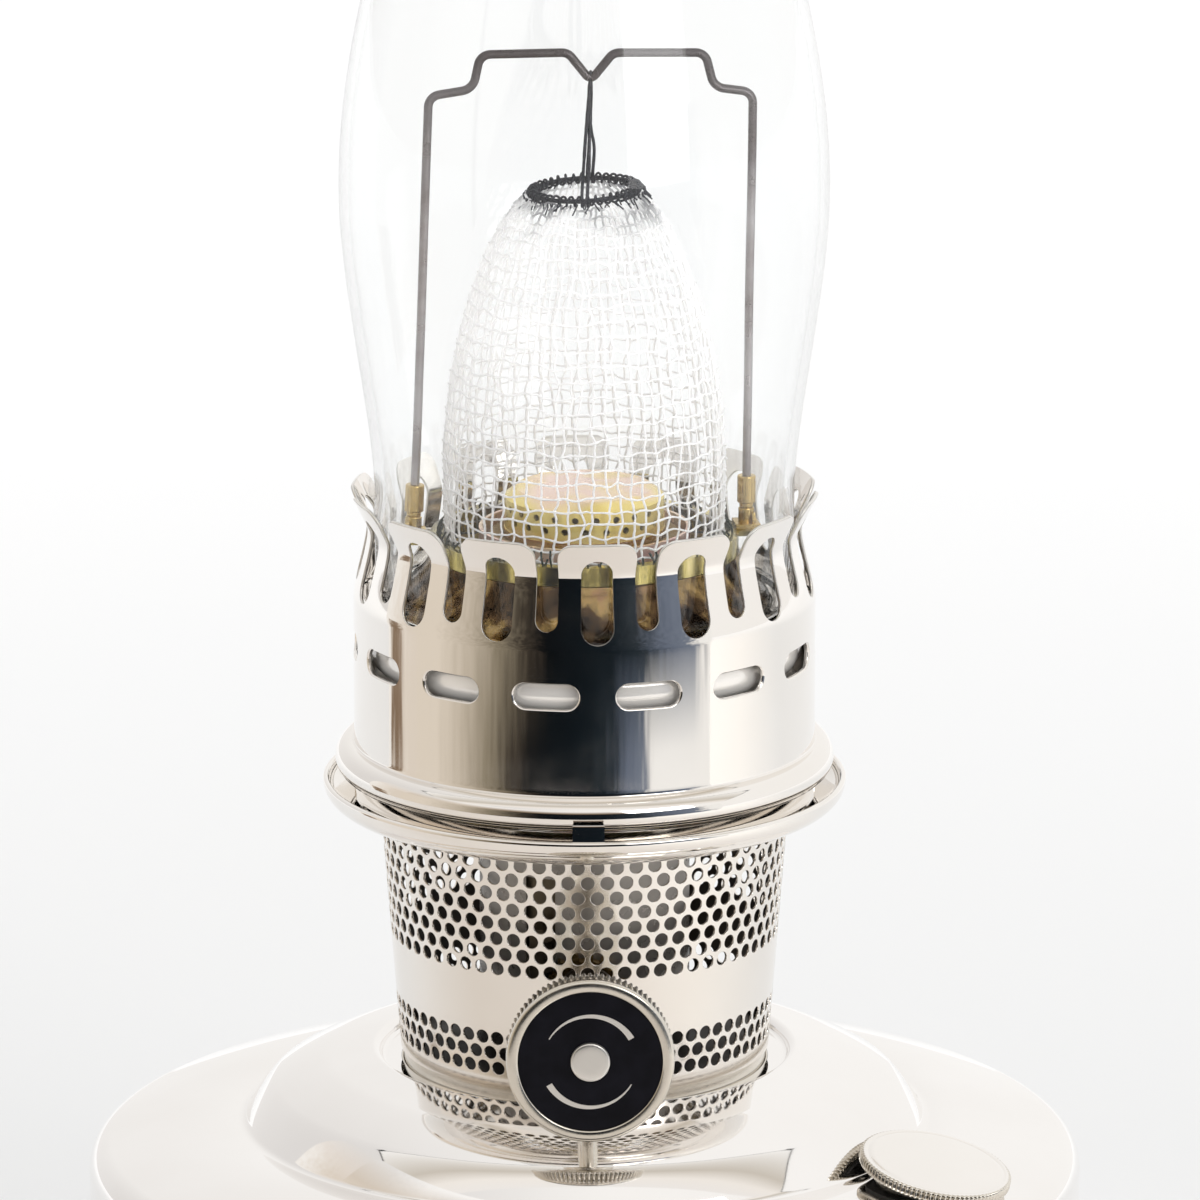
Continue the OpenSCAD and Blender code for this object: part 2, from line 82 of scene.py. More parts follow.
CROWN = RIM + 95.4
CROWN_R = 8.3
FRAME_TURN = math.radians(5.5)
KNOB_FACE = -reach("knob", "y", 0)
KNOB_R = reach("knob", "x")
CAP_R = 12.2
CAP_H = 1.9
PER_TOOTH = 6
# From the knob's own frame, z along the spindle to the front, to the lamp's, in millimetres.
KNOB = Matrix.Translation((0, 0, SPINDLE)) @ Matrix.Rotation(math.pi / 2, 4, "X")


# Plane curves.

def arc(cx, cz, r, a0, a1, n):
    """Points on an arc, from a0 to a1 degrees."""
    out = []
    for k in range(n + 1):
        a = math.radians(a0 + (a1 - a0) * k / n)
        out.append((cx + r * math.cos(a), cz + r * math.sin(a)))
    return out


def curve(a, b, c, d, n):
    """Points on a cubic curve, without its first."""
    out = []
    for k in range(1, n + 1):
        t = k / n
        s = 1 - t
        w = (s * s * s, 3 * s * s * t, 3 * s * t * t, t * t * t)
        out.append(tuple(w[0] * a[i] + w[1] * b[i] + w[2] * c[i] + w[3] * d[i] for i in (0, 1)))
    return out


def sides(line):
    """Unit normals on the outer side of a line."""
    p = np.array(line, float)
    v = np.zeros_like(p)
    v[1:-1] = p[2:] - p[:-2]
    v[0] = p[1] - p[0]
    v[-1] = p[-1] - p[-2]
    v /= np.linalg.norm(v, axis=1)[:, None]
    return np.stack([v[:, 1], -v[:, 0]], axis=1)


def sheet(line, t, trim=True):
    """Closed outline of a sheet of thickness t under a line, with round ends that stop at the line's own."""
    p = np.array(line, float)
    if trim:
        p[0] += (p[1] - p[0]) / np.linalg.norm(p[1] - p[0]) * t / 2
        p[-1] += (p[-2] - p[-1]) / np.linalg.norm(p[-2] - p[-1]) * t / 2
    n = sides(p)
    inner = p - t * n

    def round_end(k, r):
        mid = (p[k] + inner[k]) / 2
        along = np.array([-n[k][1], n[k][0]])
        turns = [math.pi * m / 6 for m in range(1, 6)]
        return [tuple(mid + r * (math.cos(a) * n[k] + math.sin(a) * along)) for a in turns]

    out = [tuple(q) for q in p] + round_end(-1, t / 2)
    return out + [tuple(q) for q in inner[::-1]] + round_end(0, -t / 2)


# Meshes.

def new_object(name, verts, faces, sharp=40):
    """A smooth mesh object from millimetre points."""
    mesh = bpy.data.meshes.new(name)
    mesh.from_pydata([(x * MM, y * MM, z * MM) for x, y, z in verts], [], faces)
    mesh.validate()
    obj = bpy.data.objects.new(name, mesh)
    smooth(obj, sharp)
    bpy.context.scene.collection.objects.link(obj)
    return obj


def smooth(obj, sharp):
    obj.data.shade_smooth()
    obj.data.set_sharp_from_angle(angle=math.radians(sharp))


def piece(obj, body, node, slot, *materials):
    """Gives a piece its materials and puts it on its body in place of a CAD node."""
    obj.data.materials.clear()
    for material in materials:
        obj.data.materials.append(material)
    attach(obj, body)
    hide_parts(node)


def polar(r, a, z):
    return (r * math.cos(a), r * math.sin(a), z)


def strip(rows, steps, closed=False, base=0):
    """Quads between rows of points, each row a ring; closed joins the last row to the first."""
    faces = []
    for i in range(rows if closed else rows - 1):
        low = base + i * steps
        high = base + (i + 1) % rows * steps
        for k in range(steps):
            m = (k + 1) % steps
            faces.append((low + k, low + m, high + m, high + k))
    return faces


def lathe_data(line, steps, closed=True):
    """Vertices and faces of a line turned round the lamp's axis."""
    verts = [polar(r, TAU * k / steps, z) for r, z in line for k in range(steps)]
    return verts, strip(len(line), steps, closed)


def tube_data(path, radius, ring, closed=False, base=0):
    """Vertices and faces of a round tube along 3-D points; radius is a number or one per point."""
    p = np.array(path, float)
    n = len(p)
    radii = np.broadcast_to(radius, n)
    tangent = np.roll(p, -1, axis=0) - np.roll(p, 1, axis=0)
    if not closed:
        tangent[0] = p[1] - p[0]
        tangent[-1] = p[-1] - p[-2]
    tangent /= np.linalg.norm(tangent, axis=1)[:, None]
    side = np.cross(tangent[0], (0.0, 0.0, 1.0))
    if np.linalg.norm(side) < 1e-3:
        side = np.cross(tangent[0], (1.0, 0.0, 0.0))
    verts = []
    for k in range(n):
        side = side - tangent[k] * np.dot(side, tangent[k])
        side /= np.linalg.norm(side)
        up = np.cross(tangent[k], side)
        for m in range(ring):
            a = TAU * m / ring
            verts.append(tuple(p[k] + radii[k] * (math.cos(a) * side + math.sin(a) * up)))
    faces = strip(n, ring, closed, base)
    if not closed:
        faces.append(tuple(range(base, base + ring))[::-1])
        faces.append(tuple(range(base + (n - 1) * ring, base + n * ring)))
    return verts, faces


def tubes(name, paths, ring):
    """One object of several tubes, each (points, radius, closed)."""
    return merge(name, [tube_data(path, radius, ring, closed) for path, radius, closed in paths], 60)


def smooth_path(points, n, closed=False):
    """A smooth curve through points, with n steps to each gap."""
    p = [np.array(q, float) for q in points]
    count = len(p)
    out = []
    for k in range(count if closed else count - 1):
        a = p[(k - 1) % count] if closed or k > 0 else 2 * p[0] - p[1]
        b = p[k]
        c = p[(k + 1) % count]
        d = p[(k + 2) % count] if closed or k + 2 < count else 2 * p[-1] - p[-2]
        for m in range(n):
            t = m / n
            bend = (2 * a - 5 * b + 4 * c - d) * t * t
            out.append(0.5 * (2 * b + (c - a) * t + bend + (3 * b - a - 3 * c + d) * t ** 3))
    if not closed:
        out.append(p[-1])
    return out


def merge(name, parts, sharp=40):
    """One object from several (vertices, faces) pairs."""
    verts = []
    faces = []
    for v, f in parts:
        base = len(verts)
        verts += list(v)
        faces += [tuple(base + i for i in q) for q in f]
    return new_object(name, verts, faces, sharp)


def moved(data, matrix):
    verts, faces = data
    return [tuple(matrix @ Vector(v)) for v in verts], faces


def coin_data(outline, teeth, depth):
    """A turned disc, outline of (radius, height, how much of the coin edge it carries)."""
    steps = teeth * PER_TOOTH
    verts = []
    for r, z, amount in outline:
        for k in range(steps):
            wave = 0.5 - 0.5 * math.cos(TAU * k / PER_TOOTH)
            verts.append(polar(r - amount * depth * wave ** 1.6, TAU * k / steps, z))
    return verts, strip(len(outline), steps)


# Materials.

class Nodes:
    """The node tree of a material or world, with a few helpers."""

    def __init__(self, owner, shader="Principled BSDF", coord="Object"):
        owner.use_nodes = True
        self.owner = owner
        self.tree = owner.node_tree
        self.shader = self.tree.nodes[shader]
        self.coord = self.tree.nodes.new("ShaderNodeTexCoord").outputs[coord]

    def add(self, kind, **settings):
        n = self.tree.nodes.new(kind)
        for key, value in settings.items():
            setattr(n, key, value)
        return n

    def link(self, a, b):
        self.tree.links.new(a, b)

    def feed(self, socket, value):
        """Gives an input another node's output, a number or a colour."""
        if hasattr(value, "is_output"):
            self.link(value, socket)
        elif isinstance(value, tuple):
            socket.default_value = value + (1.0,)
        else:
            socket.default_value = value

    def put(self, **values):
        for key, value in values.items():
            self.feed(self.shader.inputs[key.replace("_", " ")], value)

    def noise(self, scale, detail=4.0, rough=0.5, stretch=None):
        n = self.add("ShaderNodeTexNoise")
        for key, value in zip(("Scale", "Detail", "Roughness"), (scale, detail, rough)):
            n.inputs[key].default_value = value
        place = self.coord
        if stretch:
            m = self.add("ShaderNodeMapping")
            m.inputs["Scale"].default_value = stretch
            self.link(place, m.inputs["Vector"])
            place = m.outputs["Vector"]
        self.link(place, n.inputs["Vector"])
        return n.outputs["Fac"]

    def ramp(self, value, stops):
        r = self.add("ShaderNodeValToRGB")
        e = r.color_ramp.elements
        while len(e) < len(stops):
            e.new(0.5)
        for slot, (at, colour) in zip(e, stops):
            slot.position = at
            slot.color = colour + (1.0,)
        self.link(value, r.inputs["Fac"])
        return r.outputs["Color"]

    def span(self, value, a, b, c=0.0, d=1.0):
        """A value's stretch from a to b, spread from c to d."""
        m = self.add("ShaderNodeMapRange")
        for key, v in zip(("From Min", "From Max", "To Min", "To Max"), (a, b, c, d)):
            m.inputs[key].default_value = v
        self.link(value, m.inputs["Value"])
        return m.outputs["Result"]

    def mix(self, fac, a, b):
        m = self.add("ShaderNodeMix", data_type="RGBA")
        for socket, v in ((m.inputs["Factor"], fac), (m.inputs[6], a), (m.inputs[7], b)):
            self.feed(socket, v)
        return m.outputs[2]

    def join(self, operation, a, b):
        n = self.add("ShaderNodeMath", operation=operation)
        self.link(a, n.inputs[0])
        self.link(b, n.inputs[1])
        return n.outputs[0]

    def axis(self, name):
        s = self.add("ShaderNodeSeparateXYZ")
        self.link(self.coord, s.inputs["Vector"])
        return s.outputs[name]

    def drift(self, scale, detail, amount):
        return self.span(self.noise(scale, detail), 0.3, 0.7, -amount, amount)

    def bump(self, value, strength, distance):
        b = self.add("ShaderNodeBump")
        b.inputs["Strength"].default_value = strength
        b.inputs["Distance"].default_value = distance
        self.link(value, b.inputs["Height"])
        old = self.shader.inputs["Normal"].links
        if old:
            self.link(old[0].from_socket, b.inputs["Normal"])
        self.link(b.outputs["Normal"], self.shader.inputs["Normal"])

    def surface(self, colour, rough, bump=None, **values):
        """Finishes a material: rough is a value or (scale, low, high), bump scale, detail, strength, depth."""
        if isinstance(rough, tuple):
            scale, low, high = rough
            rough = self.span(self.noise(scale, 4), 0.3, 0.7, low, high)
        self.put(Base_Color=colour, Roughness=rough, **values)
        if bump:
            scale, detail, strength, depth = bump
            self.bump(self.noise(scale, detail), strength, depth)
        return self.owner


def material(name):
    return Nodes(bpy.data.materials.new(name))


def metal(name, light, dark, rough, wave, fine=0.0):
    """Plated or bare metal with a soft tone, smudges, slow waves and fine handling marks."""
    m = material(name)
    m.put(Metallic=1.0, Base_Color=m.ramp(m.noise(28, 3, 0.55), ((0.3, dark), (0.7, light))))
    m.put(Roughness=m.span(m.noise(140, 5, 0.6), 0.3, 0.75, *rough))
    if wave:
        m.bump(m.noise(22, 2, 0.4), wave, 0.0012)
    if fine:
        m.bump(m.noise(2600, 3, 0.6), fine, 0.00004)
    return m.owner


def grained(name, grain, stops, rough, bump=None, **values):
    """A material whose colour follows one noise: grain is its scale, detail, roughness and stretch."""
    m = material(name)
    return m.surface(m.ramp(m.noise(*grain), stops), rough, bump, **values)


NICKEL = metal("polished_nickel", (0.93, 0.905, 0.875), (0.885, 0.855, 0.815), (0.035, 0.075), 0.05)
FONT_NICKEL = metal("font_nickel", (0.945, 0.93, 0.915), (0.91, 0.89, 0.87), (0.03, 0.07), 0.03)
SATIN_NICKEL = metal("punched_nickel", (0.90, 0.865, 0.82), (0.82, 0.78, 0.73), (0.10, 0.18), 0.06, 0.05)
# Nearly black nickel: painted shade inside the punched basket and on the burner base under it.
SHADE_NICKEL = metal("painted_shade_nickel", (0.085, 0.075, 0.065), (0.03, 0.026, 0.024), (0.35, 0.55), 0.0, 0.1)
PALE_NICKEL = metal("satin_nickel", (0.90, 0.88, 0.85), (0.82, 0.80, 0.76), (0.32, 0.45), 0.0, 0.08)
EDGE_NICKEL = metal("coin_edge_nickel", (0.80, 0.765, 0.70), (0.66, 0.62, 0.55), (0.14, 0.28), 0.0, 0.12)
BRASS = metal("burner_brass", (0.80, 0.60, 0.27), (0.62, 0.44, 0.18), (0.16, 0.30), 0.05, 0.08)
CLIP_BRASS = metal("clip_brass", (0.74, 0.56, 0.24), (0.50, 0.37, 0.16), (0.18, 0.34), 0.0, 0.1)
DULL_BRASS = metal("dull_brass", (0.26, 0.22, 0.16), (0.14, 0.115, 0.085), (0.3, 0.5), 0.0, 0.1)

# Brass that the flame has browned in streaks.
BROWNED_BRASS = grained("browned_brass", (190, 5, 0.6, (1, 1, 0.35)),
                        ((0.38, (0.015, 0.01, 0.007)), (0.50, (0.10, 0.06, 0.03)),
                         (0.62, (0.42, 0.29, 0.12)), (0.76, (0.36, 0.18, 0.14))),
                        (160, 0.10, 0.22), Metallic=1.0)
# Greenish brass with dark streaks and bright ones; the bright streaks are painted highlights.
RING_BRASS = grained("ring_brass", (150, 5, 0.65, (1, 1, 0.3)),
                     ((0.36, (0.03, 0.028, 0.014)), (0.48, (0.24, 0.20, 0.07)),
                      (0.58, (0.66, 0.56, 0.20)), (0.70, (0.86, 0.74, 0.36))),
                     (160, 0.12, 0.24), Metallic=0.85)
# Brass coloured yellow and pink by heat, dull enough to catch the light from above.
GILT = grained("heat_gilt", (55, 3),
               ((0.34, (0.88, 0.60, 0.50)), (0.48, (0.98, 0.85, 0.42)), (0.66, (0.93, 0.74, 0.22))),
               (160, 0.16, 0.30), Metallic=0.45)
# Pale, dull plating inside the gallery, lit only through the slots.
INNER_PLATE = grained("inner_plate", (28, 3), ((0.3, (0.88, 0.85, 0.81)), (0.7, (0.96, 0.94, 0.91))),
                      (160, 0.08, 0.16), Metallic=0.35)
ENAMEL = grained("black_enamel", (300,), ((0.3, (0.002, 0.002, 0.004)), (0.75, (0.005, 0.005, 0.009))),
                 (900, 0.36, 0.5), (2200, 3, 0.1, 0.00006), Specular_IOR_Level=0.12)
CORD = grained("sooty_cord", (900, 5, 0.65),
               ((0.3, (0.012, 0.013, 0.02)), (0.6, (0.035, 0.036, 0.045)), (0.85, (0.13, 0.13, 0.14))),
               0.72, (4200, 4, 0.5, 0.0001))
FRINGE = grained("hem_fringe", (500,), ((0.35, (0.006, 0.016, 0.014)), (0.7, (0.035, 0.055, 0.045))),
                 0.8, (4200, 3, 0.4, 0.0001))
RUBBER = grained("seal_rubber", (800,), ((0.3, (0.018, 0.018, 0.018)), (0.75, (0.05, 0.05, 0.048))),
                 0.7, (3000, 3, 0.2, 0.0001))


def heat_tint_and_shade():
    """Tube that the flame has coloured in bands near its top, with painted shade that darkens it towards the
    bottom of the basket.
    """
    m = material("tube_tinted_by_heat_and_shaded")
    z = m.span(m.join("ADD", m.axis("Z"), m.drift(60, 3, 0.004)), 0.095, 0.1722)
    # The lowest bands, near black to grey, are painted shade inside the basket; the yellow and pink ones are
    # heat tint.
    tint_and_shade_bands = ((0.0, (0.05, 0.045, 0.04)), (0.16, (0.36, 0.33, 0.30)), (0.36, (0.60, 0.56, 0.515)),
             (0.62, (0.62, 0.48, 0.24)), (0.84, (0.90, 0.74, 0.30)), (0.90, (0.88, 0.62, 0.28)),
             (0.95, (0.80, 0.50, 0.47)), (1.0, (0.92, 0.74, 0.58)))
    return m.surface(m.ramp(z, tint_and_shade_bands), (160, 0.18, 0.34), Metallic=0.5)


def thimble():
    """Yellow brass, pinked by the flame on its cap."""
    m = material("thimble_brass")
    z = m.join("ADD", m.axis("Z"), m.drift(130, 4, 0.0012))
    pink = m.span(z, (TUBE_TOP + 5.2) * MM, (TUBE_TOP + 6.8) * MM)
    yellow = m.ramp(m.noise(90, 3), ((0.3, (0.86, 0.66, 0.18)), (0.7, (0.98, 0.84, 0.34))))
    return m.surface(m.mix(pink, yellow, (0.93, 0.70, 0.60)), (160, 0.14, 0.28), Metallic=0.6)


def steel_wire():
    """Grey wire, sooty towards its top."""
    m = material("steel_wire")
    greys = ((0.25, (0.15, 0.125, 0.12)), (0.5, (0.34, 0.32, 0.325)), (0.8, (0.50, 0.49, 0.51)))
    grey = m.ramp(m.noise(75, 4, 0.6), greys)
    sooty = m.span(m.axis("Z"), (RIM + 90) * MM, (RIM + 116) * MM, 0.0, 0.85)
    tone = m.mix(sooty, grey, (0.035, 0.028, 0.03))
    return m.surface(tone, (300, 0.24, 0.42), (1800, 3, 0.15, 0.00008), Metallic=0.85)


def net():
    """White oxide net, sooty at the gather and dark and green at the hem, with a painted glow that brightens it
    towards its top.
    """
    m = material("mantle_net")
    z = m.axis("Z")
    rim = RIM * MM
    soot = m.join("MULTIPLY", m.span(z, rim + 0.0885, rim + 0.0945), m.span(m.noise(170, 3), 0.42, 0.62))
    white = m.ramp(m.noise(220, 3), ((0.3, (0.93, 0.93, 0.94)), (0.7, (0.98, 0.98, 0.985))))
    top = m.mix(soot, white, (0.05, 0.05, 0.06))
    dark = m.ramp(m.noise(420, 3), ((0.35, (0.012, 0.028, 0.024)), (0.7, (0.10, 0.12, 0.10))))
    tone = m.mix(m.span(z, rim + 0.0405, rim + 0.0375), top, dark)
    # Emission rising up the net is painted light that brightens the upper net.
    painted_glow = m.span(z, rim + 0.044, rim + 0.075, 0.02, 0.18)
    return m.surface(tone, 0.85, (6000, 3, 0.3, 0.00005), Emission_Strength=painted_glow,
                     Emission_Color=(0.99, 0.99, 1.0))


def cotton():
    """Raw yarn, charred where it burns."""
    m = material("wick_cotton")
    char = m.span(m.axis("Z"), TUBE_TOP * MM - 0.0045, TUBE_TOP * MM - 0.0008)
    yarn = m.ramp(m.noise(700), ((0.3, (0.66, 0.60, 0.47)), (0.7, (0.88, 0.84, 0.74))))
    return m.surface(m.mix(char, yarn, (0.30, 0.21, 0.10)), 0.9, (3000, 4, 0.5, 0.0002))


def glass():
    m = material("clear_glass")
    clear = (0.985, 0.99, 0.99)
    return m.surface(clear, 0.0, (30, 2, 0.03, 0.0008), Transmission_Weight=1.0, IOR=1.47)


# Font.

FONT_T = 1.0
EDGE_R = 4.8
WALL_H = 65.8
# From the filler's own frame, z along the neck, to the lamp's, in millimetres.
FILLER = (Matrix.Rotation(math.radians(-32), 4, "Z") @ Matrix.Translation((64.3, 0, SHOULDER - 0.75))
          @ Matrix.Rotation(math.radians(13), 4, "Y"))


def font_line():
    """The font's outer line: up its wall, over the shoulder and the hump, and into the collar."""
    s = SHOULDER
    line = [(FONT_R, WALL_H * k / 12) for k in range(12)]
    line += arc(FONT_R - EDGE_R, WALL_H, EDGE_R, 0, 76, 24)
    line += curve(line[-1], (70.3, s - 1.6), (62.0, s + 0.3), (55.9, s + 0.04), 40)
    line += curve(line[-1], (55.0, s), (54.55, s + 0.1), (54.2, s + 0.75), 10)
    crest = arc(33.9, CREST - 1.3, 1.3, 78, 170, 14)
    fall = [crest[0]]
    step = 0.2
    steepest = 32
    while fall[-1][0] < 49.4:
        r, z = fall[-1]
        tilt = np.interp(r + step / 2, (40.8, 42.6, 47.0, 49.5), (12, 20, 27, steepest))
        fall.append((r + step, z - step * math.tan(math.radians(tilt))))
    low = (fall[-1][0] + 1.6, fall[-1][1] - 1.6 * math.tan(math.radians(steepest)))
    line += curve(line[-1], (53.35, s + 2.25), low, fall[-1], 40)
    line += fall[-2:0:-1] + crest
    line += curve(crest[-1], (32.55, RING + 0.15), (32.3, RING), (31.8, RING), 8)
    return line + [(31.0, RING), (COLLAR_R + 0.02, RING)]


def cut_round(obj, data):
    """Cuts a closed solid out of an object and drops the cutter."""
    cutter = new_object("cutter", *data)
    mod = obj.modifiers.new("cut", "BOOLEAN")
    mod.object = cutter
    mod.operation = "DIFFERENCE"
    mod.solver = "EXACT"
    depsgraph = bpy.context.evaluated_depsgraph_get()
    cut = bpy.data.meshes.new_from_object(obj.evaluated_get(depsgraph))
    obj.modifiers.clear()
    obj.data = cut
    bpy.data.objects.remove(cutter)


def round_rod(r, z0, z1, steps=96):
    verts = [(0, 0, z0), (0, 0, z1)]
    verts += [polar(r, TAU * k / steps, z) for z in (z0, z1) for k in range(steps)]
    faces = []
    for k in range(steps):
        m = (k + 1) % steps
        faces.append((0, 2 + m, 2 + k))
        faces.append((1, 2 + steps + k, 2 + steps + m))
        faces.append((2 + k, 2 + m, 2 + steps + m, 2 + steps + k))
    return verts, faces


def turned_normals(obj, line, t):
    """True normals for a turned sheet, wherever a corner lies on its outer or inner line."""
    p = np.array(line, float)
    n = sides(line)
    mesh = obj.data
    co = np.zeros(len(mesh.vertices) * 3)
    mesh.vertices.foreach_get("co", co)
    co = co.reshape(-1, 3) / MM
    r = np.hypot(co[:, 0], co[:, 1])
    out = np.zeros_like(co)
    for offset, sign in ((0.0, 1.0), (t, -1.0)):
        q = p - offset * n
        d2 = (r[:, None] - q[None, :, 0]) ** 2 + (co[:, 2][:, None] - q[None, :, 1]) ** 2
        near = d2.argmin(axis=1)
        for i in np.nonzero(d2.min(axis=1) < 0.9)[0]:
            k = near[i]
            best = None
            for m in (k - 1, k):
                if 0 <= m < len(q) - 1:
                    seg = q[m + 1] - q[m]
                    f = np.clip(np.dot((r[i], co[i, 2]) - q[m], seg) / np.dot(seg, seg), 0, 1)
                    miss = np.linalg.norm((r[i], co[i, 2]) - (q[m] + f * seg))
                    if best is None or miss < best[0]:
                        best = (miss, n[m] * (1 - f) + n[m + 1] * f)
            if best[0] < 0.02:
                v = best[1] / np.linalg.norm(best[1]) * sign
                out[i] = (co[i, 0] / r[i] * v[0], co[i, 1] / r[i] * v[0], v[1])
    smooth(obj, 40)
    mesh.normals_split_custom_set_from_vertices([tuple(v) for v in out])


def make_font():
    line = font_line()
    font = new_object("font", *lathe_data(sheet(line, FONT_T), 240))
    cut_round(font, moved(round_rod(9.19, -6, 6), FILLER))
    turned_normals(font, line, FONT_T)
    piece(font, "lamp_base", "font_shell", "nickel", FONT_NICKEL)


def make_filler():
    bore = 7.8
    neck_r = 9.2
    foot = -8
    line = [(neck_r, foot), (neck_r, -0.2), (neck_r, 0.4), (9.02, 0.6), (7.98, 0.6), (bore, 0.4)]
    for k in range(12):
        z = -0.6 - 0.5 * k
        line += [(bore, z), (7.72, z - 0.12), (7.72, z - 0.28), (bore, z - 0.4)]
    neck = new_object("neck", *moved(lathe_data(line + [(bore, foot)], 96), FILLER))
    piece(neck, "lamp_base", "filler_neck", "nickel", EDGE_NICKEL)

    r = CAP_R
    z = 1.2
    top = z + CAP_H
    teeth = 96
    outline = [(0.001, z, 0), (r - 1.2, z, 0), (r - 0.35, z + 0.02, 0.6), (r - 0.08, z + 0.2, 1),
               (r, z + 0.35, 1), (r, top - 0.35, 1), (r - 0.08, top - 0.2, 1), (r - 0.4, top - 0.02, 0.5),
               (r - 0.75, top + 0.02, 0), (r - 1.0, top + 0.02, 0), (r - 1.1, top - 0.06, 0),
               (r - 1.25, top - 0.06, 0), (r - 1.4, top + 0.06, 0), (r - 2.2, top + 0.2, 0),
               (r - 5, top + 0.27, 0), (r - 9, top + 0.3, 0), (0.001, top + 0.3, 0)]
    plug = lathe_data([(6.3, z), (6.3, -4.7), (6.4, -4.8), (7.3, -4.8), (7.5, -4.6), (7.5, z)], 96, False)
    cap = merge("cap", [moved(coin_data(outline, teeth, 0.32), FILLER), moved(plug, FILLER)])
    piece(cap, "cap", "filler_cap", "nickel", NICKEL, EDGE_NICKEL)
    row = teeth * PER_TOOTH
    for k, poly in enumerate(cap.data.polygons):
        poly.material_index = 1 if row <= k < row * 7 or k >= row * 16 else 0


# Burner basket, punched from sheet, and its dish.

def basket_r(z):
    return FOOT_R + (TOP_R - FOOT_R) * (z - BASE_PLATE) / BASKET_H


def make_basket():
    hole = 1.08
    step = 2.53
    per_edge = 8
    total = 4 * per_edge
    t = 0.5
    verts = []
    faces = []
    seen = {}

    def point(a, z, depth):
        key = (round((a % TAU) * 1e5) % round(TAU * 1e5), round(z * 1e4), round(depth * 1e3))
        if key not in seen:
            seen[key] = len(verts)
            verts.append(polar(basket_r(z) - depth, a, z))
        return seen[key]

    def plain(z0, z1, count, n):
        for k in range(count * per_edge):
            a0 = TAU * k / (count * per_edge)
            a1 = TAU * (k + 1) / (count * per_edge)
            for m in range(n):
                y0 = z0 + (z1 - z0) * m / n
                y1 = z0 + (z1 - z0) * (m + 1) / n
                corners = ((a0, y0), (a1, y0), (a1, y1), (a0, y1))
                faces.append(tuple(point(a, z, 0.0) for a, z in corners))
                faces.append(tuple(point(a, z, t) for a, z in corners)[::-1])

    def punched(zc, count, shift):
        w = TAU / count
        square = []
        for e in range(4):
            for k in range(per_edge):
                f = -0.5 + k / per_edge
                square.append([(0.5, f), (-f, 0.5), (-0.5, -f), (f, -0.5)][e])
        r = basket_r(zc)
        angles = [-math.pi / 4 + TAU * k / total for k in range(total)]
        for c in range(count):
            ac = w * (c + shift)
            rim = [(ac + w * u, zc + step * v) for u, v in square]
            rings = []
            for radius, depth in ((hole + 0.09, 0.0), (hole, 0.1), (hole, t - 0.1), (hole + 0.06, t)):
                circle = [(ac + radius * math.cos(g) / r, zc + radius * math.sin(g)) for g in angles]
                rings.append([point(a, z, depth) for a, z in circle])
            rings.insert(0, [point(a, z, 0.0) for a, z in rim])
            rings.append([point(a, z, t) for a, z in rim])
            for k in range(total):
                m = (k + 1) % total
                for low, high in zip(rings, rings[1:]):
                    faces.append((low[k], low[m], high[m], high[k]))

    top_z = BASKET_TOP - 1.35
    low_z = BASE_PLATE + 3.3
    top_count = 66
    low_count = 70
    for row in range(8):
        punched(top_z - row * step, top_count, 0.5 * (row % 2))
    for row in range(3):
        punched(low_z + row * step, low_count, 0.5 * (row % 2))
    plain(BASE_PLATE, low_z - step / 2, low_count, 2)
    plain(low_z + 2.5 * step, top_z - 7.5 * step, top_count, 4)
    plain(top_z + step / 2, BASKET_TOP, top_count, 1)
    basket = new_object("basket", verts, faces, 50)
    cut_round(basket, moved(round_rod(3.8, 20, 40), KNOB))
    smooth(basket, 50)
    slope = (TOP_R - FOOT_R) / BASKET_H
    flat = []
    for vert in basket.data.vertices:
        x, y, z = (q / MM for q in vert.co)
        r = math.hypot(x, y)
        deep = basket_r(z) - r
        way = 1 if deep < 0.01 else -1 if deep > t - 0.01 else 0
        flat.append(Vector((way * x / r, way * y / r, -way * slope)).normalized())
    basket.data.normals_split_custom_set_from_vertices(flat)
    piece(basket, "lamp_base", "burner_basket", "nickel", SATIN_NICKEL, SHADE_NICKEL)
    # The inner faces take the nearly black nickel, painted shade inside the basket.
    for poly in basket.data.polygons:
        x, y, z = (q / MM for q in poly.center)
        poly.material_index = 1 if math.hypot(x, y) < basket_r(z) - 0.44 else 0


def make_dish():
    low = BASKET_TOP
    lugs = 3
    line = [(TOP_R - 1.6, low), (TOP_R - 0.8, low)]
    line += curve((TOP_R - 0.2, low), (TOP_R + 5, low + 0.3),
                  (DISH_R - 0.2, low + 1.4), (DISH_R, RIM - 0.75), 40)
    line += arc(DISH_R - 0.5, RIM - 0.55, 0.5, 0, 170, 14)
    parts = [lathe_data(sheet(line, 0.6, False), 192)]
    across = 10
    outline = [(1.5, -2.4), (1.5, 2.3), (1.35, 2.6), (0.75, 2.6), (0.6, 2.3), (0.6, -2.4)]
    n = len(outline)
    verts = []
    for i in range(across + 1):
        a = (-2.5 + 5.0 * i / across) / 40.7
        for inset, z in outline:
            r = DISH_R - inset
            verts.append((r * math.sin(a), -r * math.cos(a), RIM + z))
    faces = []
    for i in range(across):
        for j in range(n - 1):
            faces.append((i * n + j, i * n + j + 1, (i + 1) * n + j + 1, (i + 1) * n + j))
    faces.append(tuple(range(n)))
    faces.append(tuple(range(across * n, across * n + n))[::-1])
    parts += [moved((verts, faces), Matrix.Rotation(TAU * k / lugs, 4, "Z")) for k in range(lugs)]
    piece(merge("dish", parts), "lamp_base", "burner_dish", "nickel", NICKEL)


# Gallery with its spring fingers.

